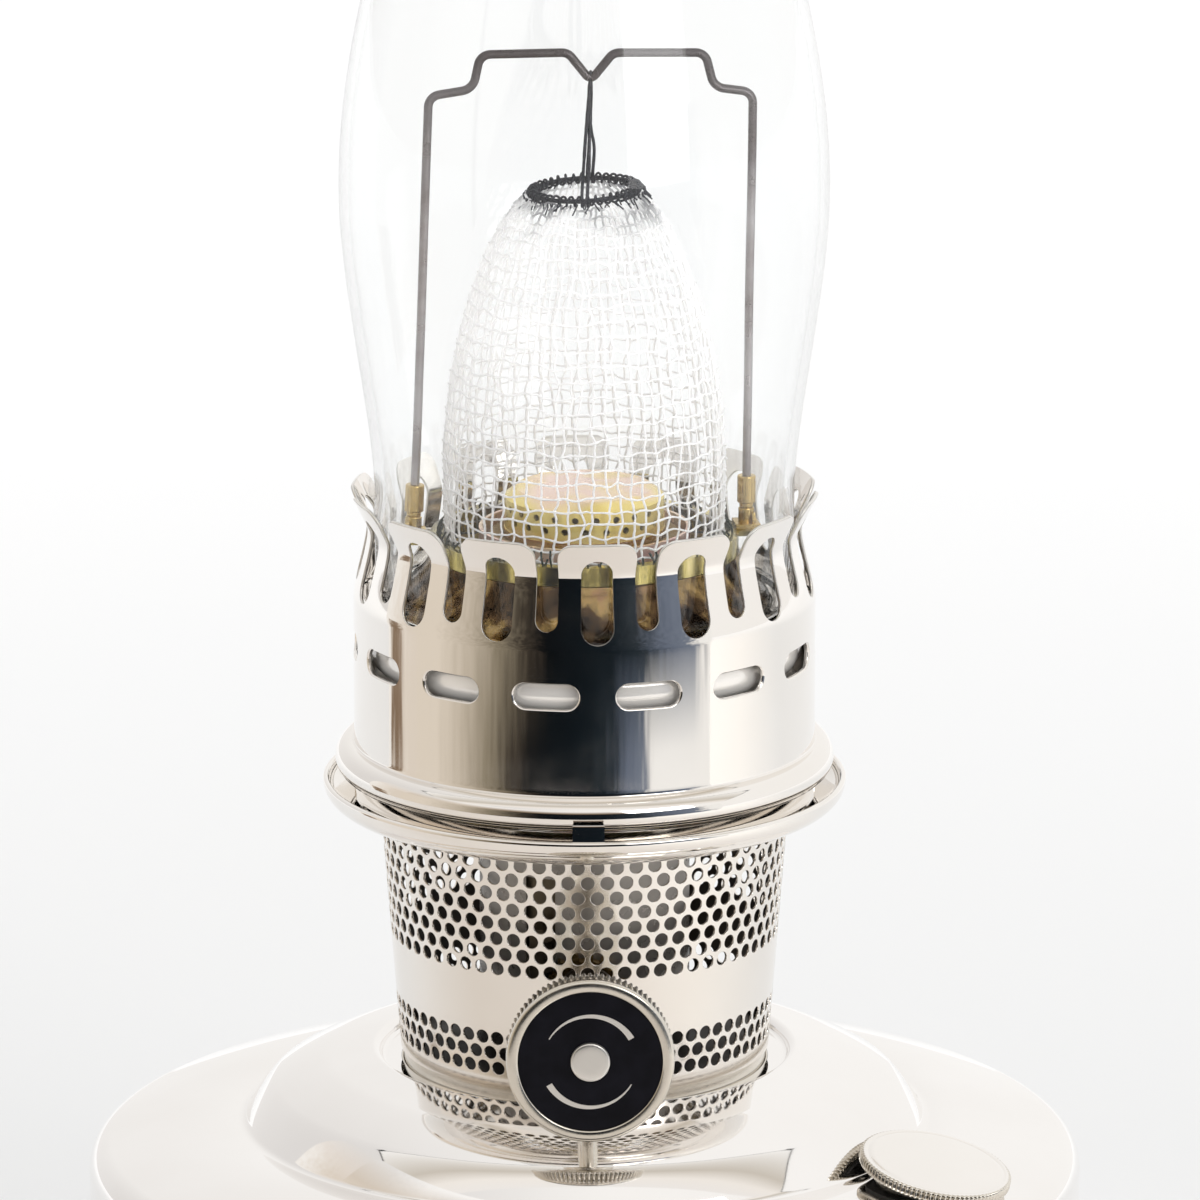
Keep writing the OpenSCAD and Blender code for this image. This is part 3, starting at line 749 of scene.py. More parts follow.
def gallery_profile():
    g = GALLERY_R
    line = [(g, FINGER_LOW + 19.5 * k / 20) for k in range(21)]
    line += curve(line[-1], (g, RIM + 31.8), (g - 2.2, RIM + 38.4), (g - 2.2, RIM + 40.8), 40)
    line += curve(line[-1], (g - 2.2, RIM + 41.3), (g - 2, RIM + 41.7), (g - 1.8, RIM + 42.1), 12)
    return line + [(g - 1.8 + 2.2 * k / 8, RIM + 42.1 + 4.5 * k / 8) for k in range(1, 9)]


def obround(w, h, cz, n):
    """Outline of a slot with round ends."""
    r = min(w, h) / 2
    start = 0 if h > w else -math.pi / 2
    out = []
    for way in (1, -1):
        for k in range(n + 1):
            a = start + math.pi * k / n
            out.append((way * (w / 2 - r + r * math.cos(a)), cz + way * (h / 2 - r + r * math.sin(a))))
    return out


def resample(points, step, closed=True):
    """A line cut into even pieces no longer than step."""
    out = []
    count = len(points)
    for k in range(count if closed else count - 1):
        a = points[k]
        b = points[(k + 1) % count]
        n = max(1, int(math.ceil(math.dist(a, b) / step)))
        for m in range(n):
            out.append((a[0] + (b[0] - a[0]) * m / n, a[1] + (b[1] - a[1]) * m / n))
    if not closed:
        out.append(points[-1])
    return out


def inside(poly, x, y):
    odd = False
    for (x0, y0), (x1, y1) in zip(poly, poly[1:] + poly[:1]):
        if (y0 > y) != (y1 > y) and x < (x1 - x0) * (y - y0) / (y1 - y0) + x0:
            odd = not odd
    return odd


def finger_sheet():
    """One finger's stretch of the wall, flat, with half a slot at each side: points, triangles, border edges."""
    half = math.pi * GALLERY_R / FINGERS
    gap = 1.85
    gap_low = RIM + 32.5 + gap
    r = 2.6
    slot_r = 2.25
    grid = 0.72
    close = 1e-4
    quarter = math.pi / 2
    slot_end = [(half - 5.5 + slot_r + slot_r * math.cos(a), SLOT_Z + slot_r * math.sin(a))
                for a in [math.pi * 1.5 - math.pi * k / 16 for k in range(17)]]
    right = [(half + gap * math.cos(a), gap_low + gap * math.sin(a))
             for a in [-quarter - quarter * k / 12 for k in range(13)]]
    corner = [(half - gap - r + r * math.cos(a), FINGER_TOP - r + r * math.sin(a))
              for a in [quarter * k / 10 for k in range(11)]]
    side = [(half, FINGER_LOW), (half, SLOT_Z - slot_r)] + slot_end + [(half, SLOT_Z + slot_r)]
    side += right + [(half - gap, FINGER_TOP - r)] + corner
    outline = resample(side + [(-x, z) for x, z in side[::-1]], 0.7)
    window = resample(obround(5.3, 13.4, RIM + 37.2, 18), 0.7)

    def sheet_at(x, z):
        return inside(outline, x, z) and not inside(window, x, z)

    drawn = outline + window
    coords = list(drawn)
    edges = []
    for base, loop in ((0, outline), (len(outline), window)):
        edges += [(base + k, base + (k + 1) % len(loop)) for k in range(len(loop))]
    for z in np.arange(FINGER_LOW + 0.7, FINGER_TOP, grid):
        for x in np.arange(-half + 0.7, half - 0.5, grid):
            if sheet_at(x, z) and min(math.hypot(x - a, z - b) for a, b in drawn) > 0.4:
                coords.append((x, z))
    done = geometry.delaunay_2d_cdt([Vector(c) for c in coords], edges, [], 0, 1e-5)
    pts = [tuple(v) for v in done[0]]
    tris = []
    for f in done[2]:
        if sheet_at(sum(pts[i][0] for i in f) / 3, sum(pts[i][1] for i in f) / 3):
            tris.append(tuple(f))
    border = {}
    for f in tris:
        for pair in zip(f, f[1:] + f[:1]):
            border[pair] = True
    rim = []
    for a, b in border:
        joined = all(abs(abs(pts[i][0]) - half) < close for i in (a, b))
        footed = all(abs(pts[i][1] - FINGER_LOW) < close for i in (a, b))
        if (b, a) not in border and not joined and not footed:
            rim.append((a, b))
    return pts, tris, rim


def make_gallery():
    g = GALLERY_R
    t = GALLERY_T
    profile = gallery_profile()
    pr = np.array(profile)
    pn = sides(profile)
    pts, tris, rim = finger_sheet()
    count = len(pts)
    parts = []

    def normal_at(z):
        return np.interp(z, pr[:, 1], pn[:, 0]), np.interp(z, pr[:, 1], pn[:, 1])

    def place(x, z, turn, depth):
        nr, nz = normal_at(z)
        r = np.interp(z, pr[:, 1], pr[:, 0]) - depth * nr
        a = turn + x / g
        return (r * math.sin(a), -r * math.cos(a), z - depth * nz)

    for k in range(FINGERS):
        turn = FINGER_TURN + TAU * k / FINGERS
        verts = [place(x, z, turn, depth) for depth in (0.0, t) for x, z in pts]
        faces = []
        for f in tris:
            faces.append(f)
            faces.append(tuple(count + i for i in f[::-1]))
        mids = {}
        for e in rim:
            for i in e:
                if i not in mids:
                    mids[i] = len(verts)
                    verts.append(place(*pts[i], turn, t / 2))
        for a, b in rim:
            faces.append((b, a, mids[a], mids[b]))
            faces.append((mids[b], mids[a], count + a, count + b))
        parts.append((verts, faces))

    line = [(g, RIM - 2.9), (g, RIM - 1), (g, RIM + 0.1), (g + 0.1, RIM + 0.35)]
    line += arc(g + 0.3, RIM + 3.2, 2.7, -80, 88, 48)
    line += curve((g + 0.39, RIM + 5.9), (g + 0.1, RIM + 5.9), (g, RIM + 6.1), (g, RIM + 6.5), 8)
    line += [(g, RIM + 6.5 + 3.5 * k / 6) for k in range(1, 7)]
    inner = [tuple(q) for q in np.array(line) - t * sides(line)]
    foot = [(g - t + 0.1, RIM - 2.98), (g - t / 2, RIM - 3.0), (g - 0.1, RIM - 2.98)]
    across = sum(1 for x, z in pts if abs(z - FINGER_LOW) < 1e-4) - 1
    bead = lathe_data(inner[::-1] + foot + line, FINGERS * across, False)
    parts.append(moved(bead, Matrix.Rotation(FINGER_TURN - math.pi / 2 + math.pi / FINGERS, 4, "Z")))
    slot = resample(obround(11.3, 4.8, SLOT_Z, 14), 0.5)
    for k in range(FINGERS):
        turn = FINGER_TURN + TAU * (k + 0.5) / FINGERS
        parts.append(tube_data([place(x, z, turn, 0.52) for x, z in slot], 0.42, 8, True))
    gallery = merge("gallery_wall", parts, 50)
    mesh = gallery.data
    bm = bmesh.new()
    bm.from_mesh(mesh)
    bmesh.ops.remove_doubles(bm, verts=bm.verts, dist=5e-6)
    bm.to_mesh(mesh)
    bm.free()
    smooth(gallery, 50)
    fixed = []
    for vert in mesh.vertices:
        x, y, z = (q / MM for q in vert.co)
        r = math.hypot(x, y)
        out = (0.0, 0.0, 0.0)
        for depth, way in ((0.0, 1), (t, -1)):
            away = np.array((r, z)) - pr + depth * pn
            near = int(np.argmin((away ** 2).sum(axis=1)))
            if z > FINGER_LOW - 0.1 and abs(np.dot(away[near], pn[near])) < 0.06:
                nr, nz = normal_at(z + depth * pn[near, 1])
                out = (way * nr * x / r, way * nr * y / r, way * nz)
        fixed.append(out)
    mesh.normals_split_custom_set_from_vertices(fixed)
    piece(gallery, "gallery", "gallery", "nickel", NICKEL, PALE_NICKEL)
    for poly in mesh.polygons:
        x, y, z = (q / MM for q in poly.center)
        nr, nz = normal_at(z)
        outward = (poly.normal.x * x + poly.normal.y * y) / math.hypot(x, y) * nr + poly.normal.z * nz
        if z > RIM + 26 and abs(outward) < 0.5:
            poly.material_index = 1


def make_cone():
    z = RIM
    g = GALLERY_R
    inner = g - GALLERY_T
    line = [(inner - 0.02, z + 10), (inner - 0.6, z + 11.6)]
    line += curve(line[-1], (g - 2, z + 14.6), (g - 4, z + 17), (g - 3.9, z + 18.6), 20)
    line += curve(line[-1], (g - 1.5, z + 19.4), (g - 1.5, z + 24.6), (g - 4.6, z + 25.4), 36)
    line += curve(line[-1], (g - 6.2, z + 25.8), (g - 6.8, z + 26.6), (g - 6.9, SEAT - 0.8), 16)
    line += curve(line[-1], (g - 7.2, SEAT + 3), (25.7, CONE_TOP - 4), (24.5, CONE_TOP), 30)
    cone = new_object("cone", *lathe_data(sheet(line, 0.6), 160))
    piece(cone, "gallery", "gallery_cone", "nickel", INNER_PLATE, BROWNED_BRASS, GILT)
    for poly in cone.data.polygons:
        inward = poly.normal.x * poly.center.x + poly.normal.y * poly.center.y < 0
        if poly.center.z > (SEAT - 0.6) * MM:
            poly.material_index = 2 if inward else 1

    line = [(inner - 0.7, SEAT - 0.8), (inner - 0.7, SEAT - 3), (inner - 0.06, SEAT - 3),
            (inner - 0.06, SEAT - 0.3), (inner - 0.15, SEAT - 0.1), (inner - 0.8, SEAT),
            (g - 6.8, SEAT), (g - 6.88, SEAT - 0.7)]
    seat = new_object("seat", *lathe_data(line, 160))
    piece(seat, "gallery", "chimney_seat", "nickel", NICKEL)


# Knob.

def make_knob():
    f = KNOB_FACE
    r = KNOB_R
    b = f - 5.5
    outline = [(2.0, b - 4, 0), (5.2, b - 4, 0), (5.5, b - 3.7, 0), (5.5, b - 0.4, 0), (6.0, b, 0),
               (r - 1.3, b, 0), (r - 0.9, b + 0.06, 0.2), (r - 0.25, b + 0.35, 0.8), (r, b + 0.7, 1),
               (r, f - 1.5, 1), (r - 0.1, f - 1.35, 0.3), (r - 0.1, f - 1.2, 0), (r, f - 1.0, 0),
               (r, f - 0.55, 0), (r - 0.15, f - 0.25, 0), (r - 0.45, f - 0.06, 0), (r - 0.9, f, 0),
               (r - 1.55, f, 0), (r - 1.78, f - 0.08, 0), (r - 1.9, f - 0.28, 0), (r - 1.9, f - 1, 0)]
    rim = new_object("knob_rim", *moved(coin_data(outline, 84, 0.5), KNOB))
    piece(rim, "wick_knob", "knob", "nickel", EDGE_NICKEL)

    field = [(r - 1.9, f - 1), (r - 1.9, f - 0.42), (r - 2.0, f - 0.32), (r - 2.6, f - 0.3),
             (r - 6, f - 0.28), (5.0, f - 0.3), (3.3, f - 0.3), (0.01, f - 0.3)]
    inlay = new_object("inlay", *moved(lathe_data(field, 128, False), KNOB))
    piece(inlay, "wick_knob", "knob_inlay", "black_enamel", ENAMEL)

    stud = [(3.1, f - 0.32), (3.1, f + 0.25), (3.02, f + 0.4), (2.85, f + 0.47), (2.6, f + 0.5),
            (1.8, f + 0.5), (0.01, f + 0.5)]
    parts = [lathe_data(stud, 72, False)]
    mark_r = 7.4
    steps = 30
    n = 2 * (steps + 1)
    for start in (150, 330):
        band = []
        for k in range(steps + 1):
            a = math.radians(start - 120 * k / steps)
            half = 0.08 + 0.42 * k / steps
            band.insert(k, (mark_r - half, a))
            band.insert(k + 1, (mark_r + half, a))
        verts = [polar(q, a, z) for z in (f - 0.33, f - 0.12) for q, a in band]
        faces = [tuple(range(n, 2 * n))]
        faces += [(k, (k + 1) % n, n + (k + 1) % n, n + k) for k in range(n)]
        parts.append((verts, faces))
    marks = merge("stud", [moved(part, KNOB) for part in parts])
    piece(marks, "wick_knob", "knob_stud", "nickel", PALE_NICKEL)


# Chimney.

def make_chimney():
    z = SEAT
    foot = 33.35
    belly = 38.8
    tube = 25.5
    line = [(foot, z + 17 * k / 10) for k in range(11)]
    line += curve(line[-1], (foot, z + 29), (belly, z + 51), (belly, z + 66), 40)
    line += curve(line[-1], (39.1, z + 98), (tube, z + 122), (tube, z + 146), 60)
    line += [(tube, z + 146 + 172 * k / 24) for k in range(1, 25)]
    chimney = new_object("chimney_glass", *lathe_data(sheet(line, 1.6), 192))
    piece(chimney, "chimney", "chimney", "glass", glass())
    chimney.visible_shadow = False


# Mantle, its crown, hanger and frame.

MANTLE = ((36.6, 22.1), (38, 22.2), (40, 22.1), (47, 22.5), (54, 22.4), (60, 21.9), (66, 21.1),
          (72, 19.9), (78, 18.2), (84, 16.1), (89, 13.8), (93, 11.0), (94.4, 9.6), (95.2, 8.9))


def mantle_r(z):
    """The mantle's radius at a height over the rim."""
    return float(np.interp(z, *zip(*MANTLE)))


def uneven(points, size, amount, scale):
    """A thread's radius at each point, about size."""
    return [size + amount * noise.noise(Vector(p) * scale) for p in points]


def make_mantle(rng):
    columns = 66
    hairs = 150
    ring = 6
    heights = []
    z = 36.8
    while z < 95.0:
        heights.append(z)
        z += 2.25 if 41 < z < 88 else 1.7 if z <= 41 else 1.35
    rows = len(heights)
    grid = []
    for z in heights:
        row = []
        for i in range(columns):
            q = Vector(polar(6.0, TAU * i / columns, 0.11 * z))
            drift = noise.noise(q) * 0.55
            lift = noise.noise(q + Vector((9.1, 3.3, 1.7))) * 0.75
            a = TAU * (i + drift + rng.uniform(-0.17, 0.17)) / columns
            h = z + lift + rng.uniform(-0.28, 0.28)
            r = mantle_r(h) + rng.uniform(-0.14, 0.14) - 0.1
            row.append((a, h, r))
        grid.append(row)

    def at(i, j, out=0.0):
        a, h, r = grid[j][i % columns]
        if i >= columns:
            a += TAU
        return np.array(polar(r + out, a, RIM + h))

    paths = []
    for j in range(rows):
        points = []
        for i in range(columns):
            points.append(at(i, j, 0.16))
            mid = (at(i, j) + at(i + 1, j)) / 2
            mid[2] += rng.uniform(-0.25, 0.22)
            points.append(mid)
        path = smooth_path(points, 2, True)
        radii = [r + (0.05 if k % 4 == 0 else 0.0) for k, r in enumerate(uneven(path, 0.17, 0.05, 0.9))]
        paths.append((path, radii, True))
    for i in range(columns):
        points = []
        for j in range(rows):
            points.append(at(i, j, -0.1))
            if j + 1 < rows:
                a = grid[j][i][0]
                aside = np.array((-math.sin(a), math.cos(a), 0)) * rng.uniform(-0.22, 0.22)
                points.append((at(i, j) + at(i, j + 1)) / 2 + aside)
        path = smooth_path(points, 2)
        paths.append((path, uneven(path, 0.185, 0.05, 0.8), False))
    knit = sum(len(path) * ring for path, _, _ in paths)
    hem = 38.4
    for k in range(hairs):
        a = TAU * (k + rng.uniform(-0.4, 0.4)) / hairs
        high = rng.uniform(39.6, 42.4)
        lean = rng.uniform(-0.06, 0.06)
        points = []
        for m in range(5):
            f = m / 4
            r = 22.7 + 0.75 * math.sin(math.pi * f) + rng.uniform(-0.12, 0.12)
            points.append(polar(r, a + lean * f, RIM + hem + (high - hem) * f))
        paths.append((smooth_path(points, 2), 0.17, False))
    mantle = tubes("mantle_knit", paths, ring)
    piece(mantle, "gallery", "mantle", "mantle_net", net(), FRINGE)
    for poly in mantle.data.polygons:
        poly.material_index = 1 if poly.vertices[0] >= knit else 0


def make_crown(rng):
    slope = math.sin(math.radians(3.0))
    steps = 120
    turns = 40
    per_turn = 14
    threads = 84

    def rise(a):
        return CROWN_R * slope * math.cos(a)

    ring = []
    for k in range(steps):
        a = TAU * k / steps
        ring.append(polar(CROWN_R, a, CROWN + rise(a)))
    wrap = []
    for k in range(turns * per_turn):
        a = TAU * k / (turns * per_turn)
        b = TAU * k / per_turn
        w = 0.72 + 0.14 * noise.noise(Vector((math.cos(a) * 9, math.sin(a) * 9, 2.0)))
        wrap.append(polar(CROWN_R + w * math.cos(b), a, CROWN + w * math.sin(b) + rise(a)))
    paths = [(ring, uneven(ring, 0.40, 0.1, 0.7), True), (wrap, 0.2, True)]
    for k in range(threads):
        a = TAU * (k + rng.uniform(-0.4, 0.4)) / threads
        lean = rng.uniform(-0.12, 0.12)
        length = rng.uniform(0.5, 1.9)
        points = []
        for m in range(4):
            h = 95.2 - length * m / 3
            r = mantle_r(min(h, 94.6)) + 0.22
            points.append(polar(r, a + lean * m / 3, RIM + h + 9.5 * slope * math.cos(a)))
        paths.append((smooth_path(points, 2), 0.12, False))
    piece(tubes("crown_ring", paths, 7), "gallery", "mantle_crown", "cord", CORD)


def make_hanger():
    c = CROWN
    r = CROWN_R
    top = RIM + 112.45
    strands = []
    for shift, wobble in ((0.0, 0.0), (0.85, 0.5)):
        points = [(-0.4 + shift, -r - 0.5, c - 0.9), (-0.5 + shift, -r + 0.2, c + 0.9),
                  (-0.2 + shift, -6.2, c + 5.2),
                  (0.25 + shift * 0.6, -3.0 + wobble, c + 10.5), (0.75, -0.7, top - 1.2),
                  (0.95, -0.35, top + 1.0), (1.0, 0.15, top + 1.9), (1.05, 0.6, top + 1.0),
                  (1.1, 0.8, top - 1.2), (1.0, 3.0 - wobble, c + 10.2), (0.8 + shift, 6.2, c + 5.4),
                  (0.6 + shift, r - 0.3, c + 1.0), (0.6 + shift, r + 0.4, c - 0.8)]
        path = smooth_path(points, 6)
        strands.append((path, uneven(path, 0.27, 0.05, 1.4), False))
    piece(tubes("hanger_cord", strands, 8), "gallery", "mantle_hanger", "cord", CORD)


def bent(corners, n=9):
    """Points along straight runs with round bends; corners are (x, z, bend radius)."""
    p = [np.array(c[:2], float) for c in corners]
    out = [p[0]]
    for k in range(1, len(p) - 1):
        u = (p[k] - p[k - 1]) / np.linalg.norm(p[k] - p[k - 1])
        v = (p[k + 1] - p[k]) / np.linalg.norm(p[k + 1] - p[k])
        turn = math.acos(np.clip(np.dot(u, v), -1, 1))
        r = corners[k][2]
        left = 1 if u[0] * v[1] > u[1] * v[0] else -1
        a = p[k] - u * r * math.tan(turn / 2)
        c = a + left * r * np.array((-u[1], u[0]))
        start = math.atan2(a[1] - c[1], a[0] - c[0])
        for m in range(n + 1):
            g = start + left * turn * m / n
            out.append(c + r * np.array((math.cos(g), math.sin(g))))
    out.append(p[-1])
    return out


WIRE_R = 0.7
POST_LOW = CONE_TOP + 5
LEFT_POST = -27.2
RIGHT_POST = 26.0


def make_frame():
    z = RIM
    corners = [(LEFT_POST, POST_LOW, 0), (-24.6, z + 111, 2), (-17.6, z + 112, 2.5), (-16.4, z + 117.5, 2),
               (-2.6, z + 117.5, 2), (1, z + 112.9, 0.9), (4.6, z + 117.3, 2), (19.2, z + 117, 2),
               (20.6, z + 111.4, 2.5), (26.8, z + 110.5, 2), (RIGHT_POST, POST_LOW, 0)]
    path = []
    for x, h in resample([tuple(q) for q in bent(corners)], 2.0, False):
        sway = 0.10 * noise.noise(Vector((x * 0.05, h * 0.06, 0.0)))
        path.append(polar(x + sway, FRAME_TURN, h))
    wire = tubes("frame_wire", [(path, WIRE_R, False)], 20)
    piece(wire, "gallery", "mantle_frame", "wire", steel_wire())


def make_clip(name, at, lean):
    """A clip round the foot of one post: a stepped barrel, a strap on its outer side and a foot."""
    foot = Matrix.Rotation(FRAME_TURN, 4, "Z") @ Matrix.Translation((at, 0, POST_LOW))
    place = foot @ Matrix.Rotation(lean, 4, "Y")
    bore = WIRE_R + 0.01
    edge = 0.12
    parts = []
    for z0, z1, r, squeeze in ((-1.9, 1.2, 1.28, 0.86), (1.2, 2.0, 1.12, 0.86), (2.0, 6.4, 1.5, 1.0)):
        line = [(bore, z0), (r - edge, z0), (r, z0 + edge), (r, z1 - edge), (r - edge, z1), (bore, z1)]
        v, f = lathe_data(line, 40, False)
        parts.append(moved(([(x, y * squeeze, q) for x, y, q in v], f), place))
    strap = [(-2.0, -1.9), (2.0, -1.9), (2.0, -0.4), (1.2, 0.2),
             (1.2, 0.5), (-1.2, 0.5), (-1.2, 0.2), (-2.0, -0.4)]
    n = len(strap)
    out = 1 if at > 0 else -1
    verts = [(out * x, y, q) for x in (0.72, 1.35) for y, q in strap]
    faces = [tuple(range(n)), tuple(range(n, 2 * n))[::-1]]
    faces += [(k, n + k, n + (k + 1) % n, (k + 1) % n) for k in range(n)]
    parts.append(moved((verts, faces), place))
    foot_z = CONE_TOP + 3 - POST_LOW
    verts = [(x, y, q) for x in (-2.0, 2.0) for y in (-2.6, 2.6) for q in (foot_z, foot_z + 0.9)]
    faces = [(0, 1, 3, 2), (4, 6, 7, 5), (0, 4, 5, 1), (2, 3, 7, 6), (0, 2, 6, 4), (1, 5, 7, 3)]
    parts.append(moved((verts, faces), foot))
    clip = merge(name + "_strap", parts)
    bevel = clip.modifiers.new("edges", "BEVEL")
    bevel.width = edge * MM
    bevel.segments = 2
    bevel.limit_method = "ANGLE"
    piece(clip, "gallery", name, "brass", CLIP_BRASS)


# Wick.

def make_wick(rng):
    outer = 15.35
    inner = 13.1
    split = 4.6
    split_z = 104.5
    low = 16.0
    top = TUBE_TOP - 1.0
    line = [(outer, low)]
    z = low
    while z < top - 0.6:
        z += 1.5
        line.append((outer - (0.12 if len(line) % 2 else 0.0), min(z, top - 0.6)))
    back = [(inner + (0.1 if k % 2 else 0.0), q) for k, (_, q) in enumerate(line[::-1])]
    line += [(outer - 0.2, top - 0.15), (outer - 0.7, top), (inner + 0.7, top), (inner + 0.2, top - 0.15)]
    v, f = lathe_data(line + back, 240)
    verts = []
    for k, (x, y, z) in enumerate(v):
        rib = 1 - 0.004 * (k % 2)
        verts.append((x * rib, y * rib, z + (rng.uniform(-0.12, 0.12) if z > top - 0.2 else 0.0)))
    keep = []
    for q in f:
        cx = sum(verts[i][0] for i in q) / 4
        cz = sum(verts[i][2] for i in q) / 4
        if abs(cx) > split or cz > split_z:
            keep.append(q)
    piece(new_object("wick_braid", verts, keep, 60), "wick_lift", "wick", "cotton", cotton())


# CAD nodes that keep their own shape.

def dress(names, finish):
    for name in names:
        nodes[name].data.materials.clear()
        nodes[name].data.materials.append(finish)


make_font()
make_filler()
make_basket()
make_dish()
make_gallery()
make_cone()
make_knob()
make_chimney()
mantle_rng = random.Random(11)
make_mantle(mantle_rng)
make_crown(mantle_rng)
make_hanger()
make_frame()
make_clip("left_clip", LEFT_POST, math.atan2(2.6, 69))
make_clip("right_clip", RIGHT_POST, math.atan2(0.8, 68.5))
make_wick(random.Random(5))
dress(["font_base", "font_collar", "spindle_bush", "raiser_spindle"], EDGE_NICKEL)
# The burner base is nearly black nickel: painted shade under the basket.
dress(["burner_base"], SHADE_NICKEL)
dress(["inner_wick_tube", "raiser_pinion"], BRASS)
dress(["front_duct", "back_duct", "wick_carrier", "spindle_bracket"], DULL_BRASS)
dress(["outer_wick_tube"], heat_tint_and_shade())
dress(["flame_spreader"], thimble())
dress(["mantle_ring"], RING_BRASS)
dress(["cap_gasket"], RUBBER)


# Studio, in metres.

def emitter(name, size, place, aim, strength):
    """A soft light that the camera doesn't see."""
    data = bpy.data.lights.new(name, "AREA")
    data.shape = "RECTANGLE"
    data.size = size[0]
    data.size_y = size[1]
    data.energy = strength
    light = bpy.data.objects.new(name, data)
    light.location = place
    light.rotation_euler = (Vector(aim) - Vector(place)).to_track_quat("-Z", "Y").to_euler()
    light.visible_camera = False
    bpy.context.scene.collection.objects.link(light)


def backdrop(name, verts, faces, finish):
    mesh = bpy.data.meshes.new(name)
    mesh.from_pydata(verts, [], faces)
    mesh.materials.append(finish)
    obj = bpy.data.objects.new(name, mesh)
    bpy.context.scene.collection.objects.link(obj)
    return obj


def reflector(name, verts, faces, stops, levels=()):
    """A part of the studio seen only in reflections. With levels, its tones follow the turn and the height."""
    m = material(name)
    if levels:
        turn = m.add("ShaderNodeTexGradient", gradient_type="RADIAL")
        m.link(m.coord, turn.inputs["Vector"])
        value = m.join("ADD", turn.outputs["Fac"], m.drift(60, 3, 0.009))
    else:
        value = m.span(m.axis("Y"), -1.0, 1.0)
    tone = m.ramp(value, stops)
    for z0, z1, above in levels:
        tone = m.mix(m.span(m.axis("Z"), z0, z1), tone, m.ramp(value, above))
    m.surface((0, 0, 0), 1.0, Specular_IOR_Level=0.0, Emission_Strength=1.0, Emission_Color=tone)
    obj = backdrop(name, verts, faces, m.owner)
    obj.visible_camera = False
    obj.visible_shadow = False
    obj.visible_diffuse = False
    obj.visible_transmission = False


def band(n):
    """Quads of a band whose points come in pairs, low and high."""
    return [(2 * k, 2 * k + 2, 2 * k + 3, 2 * k + 1) for k in range(n)]


def surround():
    """The dim room in front of the table: dark where the camera stands, warm to its left."""
    quarter = math.pi / 2
    floor = 0.012
    r = 0.47
    n = 174
    verts = []
    for k in range(n + 1):
        turn = -112 + k
        edge = noise.noise(Vector((k * 0.23, 0.0, 4.0)))
        high = float(np.interp(turn + 3 * edge, (8, 20), (0.47, 0.285)))
        verts += [polar(r, math.radians(turn) - quarter, z) for z in (floor, high)]
    tones = ((-112, (0.95, 0.92, 0.88)), (-95, (0.76, 0.68, 0.59)), (-76, (0.76, 0.68, 0.58)),
             (-58, (0.55, 0.48, 0.39)), (-44, (0.27, 0.23, 0.165)), (-30, (0.05, 0.04, 0.03)),
             (-20, (0.004, 0.005, 0.006)), (10, (0.006, 0.010, 0.014)), (24, (0.02, 0.028, 0.036)),
             (38, (0.13, 0.155, 0.21)), (49, (0.17, 0.20, 0.26)), (53, (0.75, 0.73, 0.71)),
             (55, (0.95, 0.94, 0.92)))
    upper = ((-112, (0.86, 0.81, 0.76)), (-95, (0.80, 0.73, 0.66)), (-60, (0.70, 0.62, 0.53)),
             (-35, (0.30, 0.22, 0.15)), (12, (0.26, 0.19, 0.13)), (55, (0.90, 0.88, 0.85)))
    white = ((-112, (0.79, 0.77, 0.75)), (-78, (0.82, 0.80, 0.78)), (-58, (1.0, 0.985, 0.965)),
             (55, (1.0, 0.985, 0.965)))
    marks = (-112, -76, -20, 10, 38, 55)

    def around(stops, places=marks):
        """Stops in degrees, stretched from the marks to other places, as stops of the radial gradient."""
        turned = [(float(np.interp(d, marks, places)), c) for d, c in stops]
        return sorted((((d - 90) % 360 / 360 + 0.5) % 1.0, c) for d, c in turned)

    levels = ((0.024, 0.046, around(tones, (-112, -76, -18, 12, 43, 60))), (0.06, 0.10, around(tones)),
              (0.27, 0.32, around(upper)), (0.32, 0.46, around(white)))
    reflector("surround", verts, band(n), around(tones, (-112, -79, -27, 2, 20, 31)), levels)

    post_top = 0.12
    n = 8
    verts = []
    for k in range(n + 1):
        a = math.radians(-110 + k * 1.4) - quarter
        verts += [polar(r - 0.005, a, z) for z in (floor, post_top)]
    post = around(((-110, (0.66, 0.58, 0.50)), (-107, (0.22, 0.15, 0.095)), (-103, (0.28, 0.20, 0.14)),
                   (-99, (0.74, 0.66, 0.57))))
    reflector("door_post", verts, band(n), post, ((floor, post_top, post),))


def overhead():
    """A pale panel over the table, with a dark edge."""
    z = 1.15
    front_y = -0.75
    back = [(-0.98, 0.26), (-0.72, 0.18), (-0.4, 0.11), (0.0, 0.08), (0.4, 0.11), (0.72, 0.18), (0.98, 0.26)]
    front = [(x * 2.0, front_y) for x, y in back]
    rim = [(x * 1.012, y + 0.014) for x, y in back]
    n = len(back)
    faces = [(k, k + 1, n + k + 1, n + k) for k in range(n - 1)]
    stops = ((0.13, (0.90, 0.87, 0.84)), (0.22, (0.92, 0.875, 0.82)), (0.33, (0.62, 0.57, 0.50)),
             (0.6, (0.94, 0.925, 0.90)))
    reflector("overhead", [(x, y, z) for x, y in front + back], faces, stops)
    verts = [(x, y, z - 0.001) for x, y in back + rim]
    side = ((0.98, 0.26), (0.995, 0.27), (1.98, front_y), (1.96, front_y))
    corner = ((0.90, 0.235), (1.0, 0.235), (1.0, 0.285), (0.90, 0.285))
    for way in (-1, 1):
        for quad, drop in ((side, 0.001), (corner, 0.002)):
            faces.append(tuple(range(len(verts), len(verts) + 4)))
            verts += [(way * x, y, z - drop) for x, y in quad]
    reflector("overhead_edge", verts, faces, ((0.0, (0.12, 0.115, 0.11)), (1.0, (0.08, 0.08, 0.08))))


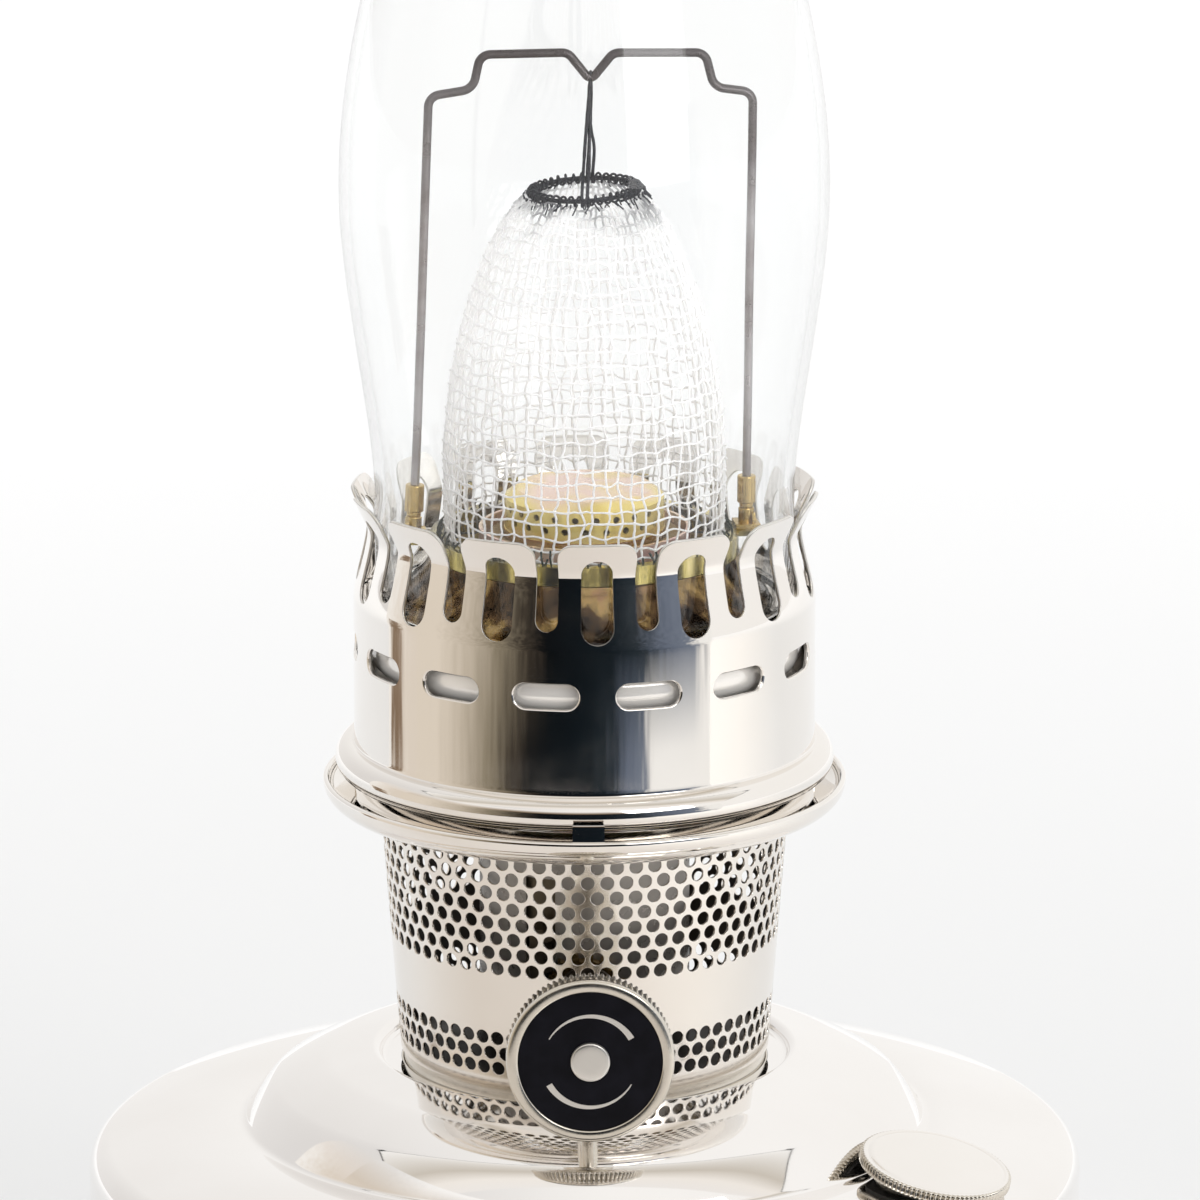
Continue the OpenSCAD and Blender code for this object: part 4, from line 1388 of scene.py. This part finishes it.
def sky():
    """White all round, but dimmer to the left in reflections."""
    world = bpy.data.worlds.new("studio")
    bpy.context.scene.world = world
    m = Nodes(world, "Background", "Generated")
    dim = m.mix(m.span(m.axis("X"), -0.8, 0.1), (0.77, 0.75, 0.735), (0.985, 0.97, 0.95))
    glossy = m.add("ShaderNodeLightPath").outputs["Is Glossy Ray"]
    m.put(Color=m.mix(glossy, (1, 1, 1), dim), Strength=1.0)


def table():
    """A pale table top, darker to its left as painted shade, that fades into the white far away, except as a
    source of light.
    """
    s = 3.0
    m = material("floor")
    # The floor is warmer and darker towards the left: painted shade.
    left = m.ramp(m.noise(3, 2), ((0.3, (0.71, 0.66, 0.61)), (0.7, (0.76, 0.71, 0.66))))
    front = m.mix(m.span(m.axis("X"), 0.05, 0.30), left, (0.95, 0.925, 0.89))
    y = m.axis("Y")
    top = m.mix(m.span(y, -0.10, 0.18), front, (0.83, 0.83, 0.828))
    top = m.mix(m.span(y, 0.22, 0.80), top, (0.99, 0.99, 0.99))
    far = m.add("ShaderNodeVectorMath", operation="LENGTH")
    m.link(m.coord, far.inputs[0])
    diffuse = m.add("ShaderNodeLightPath").outputs["Is Diffuse Ray"]
    fade = m.join("MULTIPLY", m.span(far.outputs["Value"], 0.6, 1.7), m.span(diffuse, 0.0, 1.0, 1.0, 0.0))
    tone = m.mix(fade, top, (0.0, 0.0, 0.0))
    finish = m.surface(tone, 0.8, Emission_Strength=fade, Emission_Color=(1, 1, 1))
    backdrop("floor", [(-s, -s, 0), (s, -s, 0), (s, s, 0), (-s, s, 0)], [(0, 1, 2, 3)], finish)


def camera():
    away = 1.9108
    tilt = math.radians(14.6)
    turn = math.radians(0.95)
    target = Vector((0.00247, 0.0, (RIM + 28.4) * MM))
    data = bpy.data.cameras.new("camera")
    data.lens = 360.0
    data.sensor_width = 36.0
    data.clip_start = 0.05
    cam = bpy.data.objects.new("camera", data)
    back = Vector((-math.sin(turn) * math.cos(tilt), -math.cos(turn) * math.cos(tilt), math.sin(tilt)))
    cam.location = target + away * back
    cam.rotation_euler = back.to_track_quat("Z", "Y").to_euler()
    bpy.context.scene.collection.objects.link(cam)
    bpy.context.scene.camera = cam


sky()
table()
surround()
overhead()
emitter("softbox", (0.7, 0.9), (0.69, -0.98, 0.56), (0.05, 0.0, 0.30), 5)
camera()
scene = bpy.context.scene
scene.view_settings.view_transform = "Standard"
scene.view_settings.look = "None"
